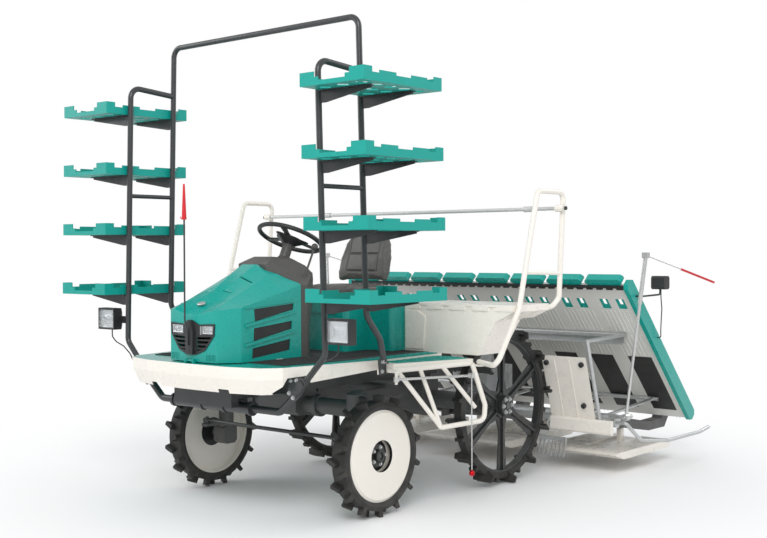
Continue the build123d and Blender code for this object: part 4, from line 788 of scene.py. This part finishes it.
# %% Headlamp bowls
HEADLAMP = (0.094, 0.004, 0.040)
HEADLAMP_X, HEADLAMP_Y, HEADLAMP_Z = 0.115, -686, 1.012
BOWL_STEPS = [(0.004, (0, 0.0015, 0)), (0.006, (0, 0.0014, 0)), (0.007, (0, -0.0022, 0))]
plate = new_box(HEADLAMP, (HEADLAMP_X, 0, HEADLAMP_Z))
only(plate)
bpy.ops.object.mode_set(mode="EDIT")
bpy.ops.mesh.select_all(action="SELECT")
bpy.ops.mesh.bisect(plane_co=(HEADLAMP_X, 0, 0), plane_no=(1, 0, 0), use_fill=False)
edit_done()
stepped(plate, faces_front, BOWL_STEPS, each_alone=True)
bowls = []
for sign in (1, -1):
    mirror = Matrix.Scale(sign, 4, (1, 0, 0))
    bowls.append(moved_copy(plate, Matrix.Translation(spot(0, HEADLAMP_Y, 0)) @ mirror))
bowls[1].data.flip_normals()
bpy.data.objects.remove(plate)
dressed(joined(bowls, "headlamp_bowls"), "hood", mirror_coat, 0)

# %% [markdown]
# ## Rounded hood
#
# The hood is a thin moulding with soft edges. Its CAD solid has the right form
# with sharp edges. Modelling it afresh with subdivision would lose the fit of
# its slots and seams, so a copy of the node is used. Its outer faces are kept,
# its long edges are bevelled with several segments, and Solidify gives the wall
# back. The copy then stands for the CAD node.

# %% A rounded skin from a CAD solid
def merged_copy(node, name):
    """Copies a node and merges its triangles into the flat faces that they came from."""
    piece = bpy.data.objects.new(name, nodes[node].data.copy())
    scene.collection.objects.link(piece)
    only(piece)
    bpy.ops.mesh.customdata_custom_splitnormals_clear()
    bpy.ops.object.mode_set(mode="EDIT")
    bpy.ops.mesh.select_all(action="SELECT")
    bpy.ops.mesh.remove_doubles(threshold=0.00003)
    bpy.ops.mesh.dissolve_limited(angle_limit=math.radians(1.0))
    edit_done()
    return piece


def keep_outer_faces(piece, is_rim):
    """Deletes the faces that look at another face of the piece, and those on its rim."""
    solid = bmesh.new()
    solid.from_mesh(piece.data)
    tree = BVHTree.FromBMesh(solid)

    def inward(middle, normal):
        hit = tree.ray_cast(middle + normal * 0.0008, normal, 3.0)
        return hit[0] is not None or is_rim(middle, normal)

    pick_faces(piece, inward)
    solid.free()
    bpy.ops.mesh.delete(type="FACE")
    edit_done()


def bevel_long_edges(piece, radius, is_soft, shortest=0.03, sharpest=7, segments=4):
    only(piece)
    bpy.ops.object.mode_set(mode="EDIT")
    bpy.ops.mesh.select_mode(type="EDGE")
    bpy.ops.mesh.select_all(action="DESELECT")
    mesh = bmesh.from_edit_mesh(piece.data)
    for edge in mesh.edges:
        if len(edge.link_faces) == 2 and edge.is_convex:
            bent = edge.calc_face_angle(0) > math.radians(sharpest)
            if bent and edge.calc_length() > shortest and is_soft(*[v.co for v in edge.verts]):
                edge.select_set(True)
    bmesh.update_edit_mesh(piece.data)
    bpy.ops.mesh.bevel(offset=radius, offset_type="OFFSET", segments=segments, profile=0.5,
                       clamp_overlap=True)
    edit_done()


# %% [markdown]
# The hood is open behind and below, so the faces there are its rim and go too.
# Edges that touch the two flat flanks are left sharp, so that the slots in
# them keep their outline.

# %% Hood skin
HOOD_SIDE = 0.2553
HOOD_EDGE_RADIUS = 0.02
HOOD_WALL = 0.004


def hood_rim(middle, normal):
    return normal.z < -0.7 or (normal.y > 0.5 and abs(middle.x) < HOOD_SIDE)


def hood_edge(one, two):
    return abs(one.x) < HOOD_SIDE and abs(two.x) < HOOD_SIDE


hood_skin = merged_copy("hood_shell", "hood_skin")
keep_outer_faces(hood_skin, hood_rim)
bevel_long_edges(hood_skin, HOOD_EDGE_RADIUS, hood_edge)
applied(hood_skin, "SOLIDIFY", thickness=HOOD_WALL, offset=-1.0, use_even_offset=False)
dressed(hood_skin, "hood", teal_gloss, 32)
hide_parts("hood_shell")

# %% [markdown]
# A small smooth boss is set into the slope of the nose. A form without edges
# needs only a primitive: a sphere is cut in half and flattened to an oval, and
# then turned to the slope.

# %% Oval boss
BOSS_RADIUS = 0.03
BOSS_SHAPE = (1.0, 0.58, 0.14)
NOSE_SLOPE = Vector((0, -0.54, 0.84)).normalized()
clear_selection()
bpy.ops.mesh.primitive_uv_sphere_add(segments=32, ring_count=16, radius=BOSS_RADIUS)
boss = bpy.context.object
bpy.ops.object.mode_set(mode="EDIT")
bpy.ops.mesh.select_all(action="SELECT")
bpy.ops.mesh.bisect(plane_co=(0, 0, 0), plane_no=(0, 0, 1), clear_inner=True, use_fill=True)
bpy.ops.mesh.select_all(action="SELECT")
bpy.ops.transform.resize(value=BOSS_SHAPE)
edit_done()
repeated(boss, "nose_boss", [(spot(0, -636, 1136.5), NOSE_SLOPE)], "hood", zinc)

# %% [markdown]
# ## Padded seat
#
# The real seat is a foam bucket under grained grey vinyl. Cloth simulation is
# the usual way to get such fullness: the outline is made a little too small,
# remeshed finely, and blown up with pressure and no gravity while a cap limits
# how far each point may move. Channels are pressed in afterwards, because a
# voxel remesh would wipe them out.

# %% Blowing up a pad
VOXEL = 0.006
FARTHEST_SWELL = 0.012
PRESSURE = 4.0
CLOTH_FRAMES = 20


def extruded_outline(name, outline, low, high, axis):
    """A flat outline of x and a second measure, extruded along y or z."""
    clear_selection()
    bpy.ops.mesh.primitive_circle_add(vertices=len(outline), radius=0.1, fill_type="NGON")
    piece = bpy.context.object
    piece.name = name
    for vert, (x, other) in zip(piece.data.vertices, outline):
        vert.co = spot(x, low, other) if axis == "Y" else spot(x, other, low)
    step = (high - low) / 1000
    bpy.ops.object.mode_set(mode="EDIT")
    bpy.ops.mesh.select_all(action="SELECT")
    way = (0, step, 0) if axis == "Y" else (0, 0, step)
    bpy.ops.mesh.extrude_region_move(TRANSFORM_OT_translate={"value": way})
    bpy.ops.mesh.select_all(action="SELECT")
    bpy.ops.mesh.normals_make_consistent(inside=False)
    edit_done()
    return piece


def swollen(piece):
    """Where the vertices lie after the cloth has been under pressure for its frames."""
    cloth = piece.modifiers.new("cloth", "CLOTH")
    cloth.settings.use_pressure = True
    cloth.settings.uniform_pressure_force = PRESSURE
    cloth.settings.effector_weights.gravity = 0
    for step in range(1, CLOTH_FRAMES + 1):
        scene.frame_set(step)
    shape = piece.evaluated_get(bpy.context.evaluated_depsgraph_get())
    places = [vert.co.copy() for vert in shape.data.vertices]
    piece.modifiers.remove(cloth)
    scene.frame_set(1)
    return places


def blown(piece):
    applied(piece, "REMESH", mode="VOXEL", voxel_size=VOXEL)
    only(piece)
    for vert, place in zip(piece.data.vertices, swollen(piece)):
        move = place - vert.co
        if move.length > FARTHEST_SWELL:
            move = move * (FARTHEST_SWELL / move.length)
        vert.co += move
    applied(piece, "SUBSURF", levels=1, render_levels=1)


# %% [markdown]
# The back leans a little and hugs the sides, and the cushion turns up at its
# edges. Both are bent vertex by vertex before they are blown up.

# %% Seat back and cushion
PAD_HALF = 0.2
PAD_EDGE = 0.014
BACK_FOOT = 1.236
BACK_TILT = (705 - 640) / 300
BACK_HUG = 0.03
CUSHION_LIP = 0.014
BACK_OUTLINE = [(-196, 1236), (196, 1236), (210, 1290), (206, 1380), (184, 1470), (152, 1518),
                (90, 1540), (-90, 1540), (-152, 1518), (-184, 1470), (-206, 1380), (-210, 1290)]
CUSHION_OUTLINE = [(-196, 345), (-150, 335), (150, 335), (196, 345), (206, 420), (206, 640),
                   (190, 672), (-190, 672), (-206, 640), (-206, 420)]


def edge_share(place):
    """How far out a place is, from 0 in the middle to 1 at the pad's edge, rising late."""
    return min(abs(place.x) / PAD_HALF, 1) ** 3


seat_backrest = extruded_outline("seat_backrest", BACK_OUTLINE, 654, 694, "Y")
applied(seat_backrest, "BEVEL", width=PAD_EDGE, segments=3)
for vert in seat_backrest.data.vertices:
    vert.co.y += (vert.co.z - BACK_FOOT) * BACK_TILT - BACK_HUG * edge_share(vert.co)
blown(seat_backrest)
seat_pad = extruded_outline("seat_pad", CUSHION_OUTLINE, 1154, 1198, "Z")
applied(seat_pad, "BEVEL", width=PAD_EDGE, segments=3)
for vert in seat_pad.data.vertices:
    vert.co.z += CUSHION_LIP * edge_share(vert.co)
blown(seat_pad)
print("seat points", len(seat_backrest.data.vertices), len(seat_pad.data.vertices))

# %% [markdown]
# The channels are pressed into the front of the pads. The back has two across
# it and two down its sides. The cushion has two along it and one across it.
# Each vertex sinks by a smooth amount that falls off a few millimetres from
# the channel's line.

# %% Channels
CHANNEL_WIDTH = 0.005
BACK_CHANNEL, PAD_CHANNEL = 0.010, 0.007
BACK_ACROSS_Z = (1.405, 1.300)
BACK_UPRIGHT_X = 0.122
BACK_UPRIGHT_LOW, BACK_UPRIGHT_HIGH = 1.296, 1.5
ACROSS_END_X, ACROSS_END_FADE = 0.118, 0.006
PAD_ALONG_X = 0.125
PAD_ACROSS_Y = 0.44


def channel(distance):
    return math.exp(-(distance / CHANNEL_WIDTH) ** 2)


def back_depth(place, normal):
    if normal.y > -0.2:
        return 0.0
    x, z = abs(place.x), place.z
    inside = 1 / (1 + math.exp((x - ACROSS_END_X) / ACROSS_END_FADE))
    across = max(channel(z - line) for line in BACK_ACROSS_Z) * inside
    is_upright = BACK_UPRIGHT_LOW < z < BACK_UPRIGHT_HIGH
    upright = channel(x - BACK_UPRIGHT_X) if is_upright else 0.0
    return BACK_CHANNEL * max(across, upright)


def pad_depth(place, normal):
    if normal.z < 0.2:
        return 0.0
    x, y = abs(place.x), place.y - AXLE_Y
    across = channel(y - PAD_ACROSS_Y) if x < PAD_ALONG_X else 0.0
    return PAD_CHANNEL * max(channel(x - PAD_ALONG_X), across)


def pressed(piece, depth_of, way):
    depths = [depth_of(vert.co, vert.normal) for vert in piece.data.vertices]
    for vert, depth in zip(piece.data.vertices, depths):
        vert.co += Vector(way) * depth


pressed(seat_backrest, back_depth, (0, 1, 0))
pressed(seat_pad, pad_depth, (0, 0, -1))
print("channels pressed", BACK_CHANNEL, PAD_CHANNEL)

# %% [markdown]
# The CAD node of a soft part is a plain closed solid, which sets how much room
# the pad may take. The pads are held inside those boxes, and then stand for
# the nodes.

# %% Fitting the pads into their room
ROOM_GAP = 0.0004
for piece, node in ((seat_backrest, "seat_back"), (seat_pad, "seat_cushion")):
    low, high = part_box(node)
    for vert in piece.data.vertices:
        for i in range(3):
            vert.co[i] = min(max(vert.co[i], low[i] + ROOM_GAP), high[i] - ROOM_GAP)
    dressed(piece, "machine", seat_vinyl, 60)
    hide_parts(node)

# %% [markdown]
# ## Small fittings
#
# The mud shields are held by round black knobs, and the light tube behind the
# seat has a cap in each end. A spun profile would give the same form, but two
# inset steps need fewer numbers: both are short cylinders whose outer face is
# drawn out and sunk again.

# %% Knobs and caps
SHIELD_LEAN = 150 / 495
SHIELD_TOP_Z, SHIELD_TOP_BACK = 745, -235
KNOBS_XZ = ((930, 700), (900, 430), (672, 700))
KNOB_LIFT = 0.0002
shield_way = Vector((0, -1, -SHIELD_LEAN)).normalized()


def knob(radius, height):
    piece = new_cylinder(24, radius, height, height / 2)
    return stepped(piece, faces_up, [(radius * 0.22, (0, 0, height * 0.22)),
                                     (radius * 0.3, (0, 0, -height * 0.12))])


knob_places = []
for x, z in KNOBS_XZ:
    y = BEAM_Y + SHIELD_TOP_BACK + (SHIELD_TOP_Z - z) * SHIELD_LEAN
    knob_places.append((spot(x, y, z) + shield_way * KNOB_LIFT, shield_way))
repeated(knob(0.017, 0.016), "shield_knobs", both_sides(knob_places), "planting_unit",
         black_plastic)
bar_low, bar_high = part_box("crossbar")
bar_end = Vector((bar_high.x, (bar_low.y + bar_high.y) / 2, (bar_low.z + bar_high.z) / 2))
repeated(knob(0.0112, 0.009), "crossbar_caps", both_sides([(bar_end, OUT)]), "machine",
         black_plastic)

# %% [markdown]
# ## Steering wheel pad
#
# A deep three-armed pad closes the wheel's middle from below. A spin can't make
# its arms, so it starts as a cone standing on its point. The upper edge is
# drawn out in three places, one under each spoke, and the top is inset and sunk
# to make a dish.

# %% Wheel pad
PAD_ARMS, ARM_REACH = 3, 0.42
COLUMN_TILT = math.radians(25)
WHEEL_CENTRE = spot(0, 25, 1497)
PAD_DROP = 0.026
clear_selection()
bpy.ops.mesh.primitive_cone_add(vertices=48, radius1=0.036, radius2=0.08, depth=0.034)
wheel_pad = settled(bpy.context.object)
for vert in wheel_pad.data.vertices:
    if vert.co.z > 0:
        turn = math.atan2(vert.co.y, vert.co.x)
        arm = max(0, math.sin(PAD_ARMS * turn + math.pi)) ** 2
        vert.co.x *= 1 + ARM_REACH * arm
        vert.co.y *= 1 + ARM_REACH * arm
stepped(wheel_pad, faces_up, [(0.006, STAY), (0.010, (0, 0, -0.004))])
applied(wheel_pad, "BEVEL", width=0.002, segments=2)
column_way = Vector((0, math.sin(COLUMN_TILT), math.cos(COLUMN_TILT)))
repeated(wheel_pad, "wheel_pad", [(WHEEL_CENTRE - column_way * PAD_DROP, column_way)],
         "steering_wheel", black_plastic, 40)

# %% [markdown]
# ## Ribs of the stage
#
# The seedling mats slide down a thin sheet that is stiffened by long pressed
# ribs. A bump would show them in the picture but not in the mesh, so they stand
# out on both faces of the board. Below it they stop short of the guide tube,
# which the stage slides along. One rib is a long box whose crest is inset and
# raised, and it is copied along the board's own slope.

# %% Stage ribs
STAGE_TOP = spot(0, BEAM_Y - 68, 1204)
STAGE_FOOT = spot(0, BEAM_Y + 814, 273)
STAGE_LANES, STAGE_LANE = 8, 0.28725
BOARD_HALF = 0.007
RIB_SEAT = 0.0001
RIB_WIDTH = 0.010
SPACED_BELOW = (-0.105, -0.075, -0.045, -0.015, 0.015, 0.045, 0.075, 0.105)
SPACED_ABOVE = (-0.10, -0.06, -0.02, 0.02, 0.06, 0.10)
# first and last share of the slope, side of the board, height, places across a lane
RIB_ROWS = [
    (0.185, 0.334, -1, 0.0030, SPACED_BELOW),
    (0.366, 0.515, -1, 0.0030, SPACED_BELOW),
    (0.200, 0.950, 1, 0.0020, SPACED_ABOVE),
]
slope = STAGE_FOOT - STAGE_TOP
down = slope.normalized()
upper = Vector((0, -down.z, down.y))


def long_rib(length, height):
    rib = new_box((RIB_WIDTH, length, height), (0, length / 2, height / 2))
    return stepped(rib, faces_up, [(RIB_WIDTH * 0.2, (0, 0, height * 0.3))])


stage_ribs = []
for first, last, side, height, across in RIB_ROWS:
    model = long_rib((last - first) * slope.length, height)
    start = STAGE_TOP + slope * first + upper * side * (BOARD_HALF + RIB_SEAT)
    lay = Matrix(((side, 0, 0), (0, down.y, side * upper.y), (0, down.z, side * upper.z)))
    for lane in range(STAGE_LANES):
        for shift in across:
            x = (lane - (STAGE_LANES - 1) / 2) * STAGE_LANE + shift
            move = Matrix.Translation(start + Vector((x, 0, 0))) @ lay.to_4x4()
            stage_ribs.append(moved_copy(model, move))
    bpy.data.objects.remove(model)
dressed(joined(stage_ribs, "stage_ribs"), "stage", stage_sheet, 0)
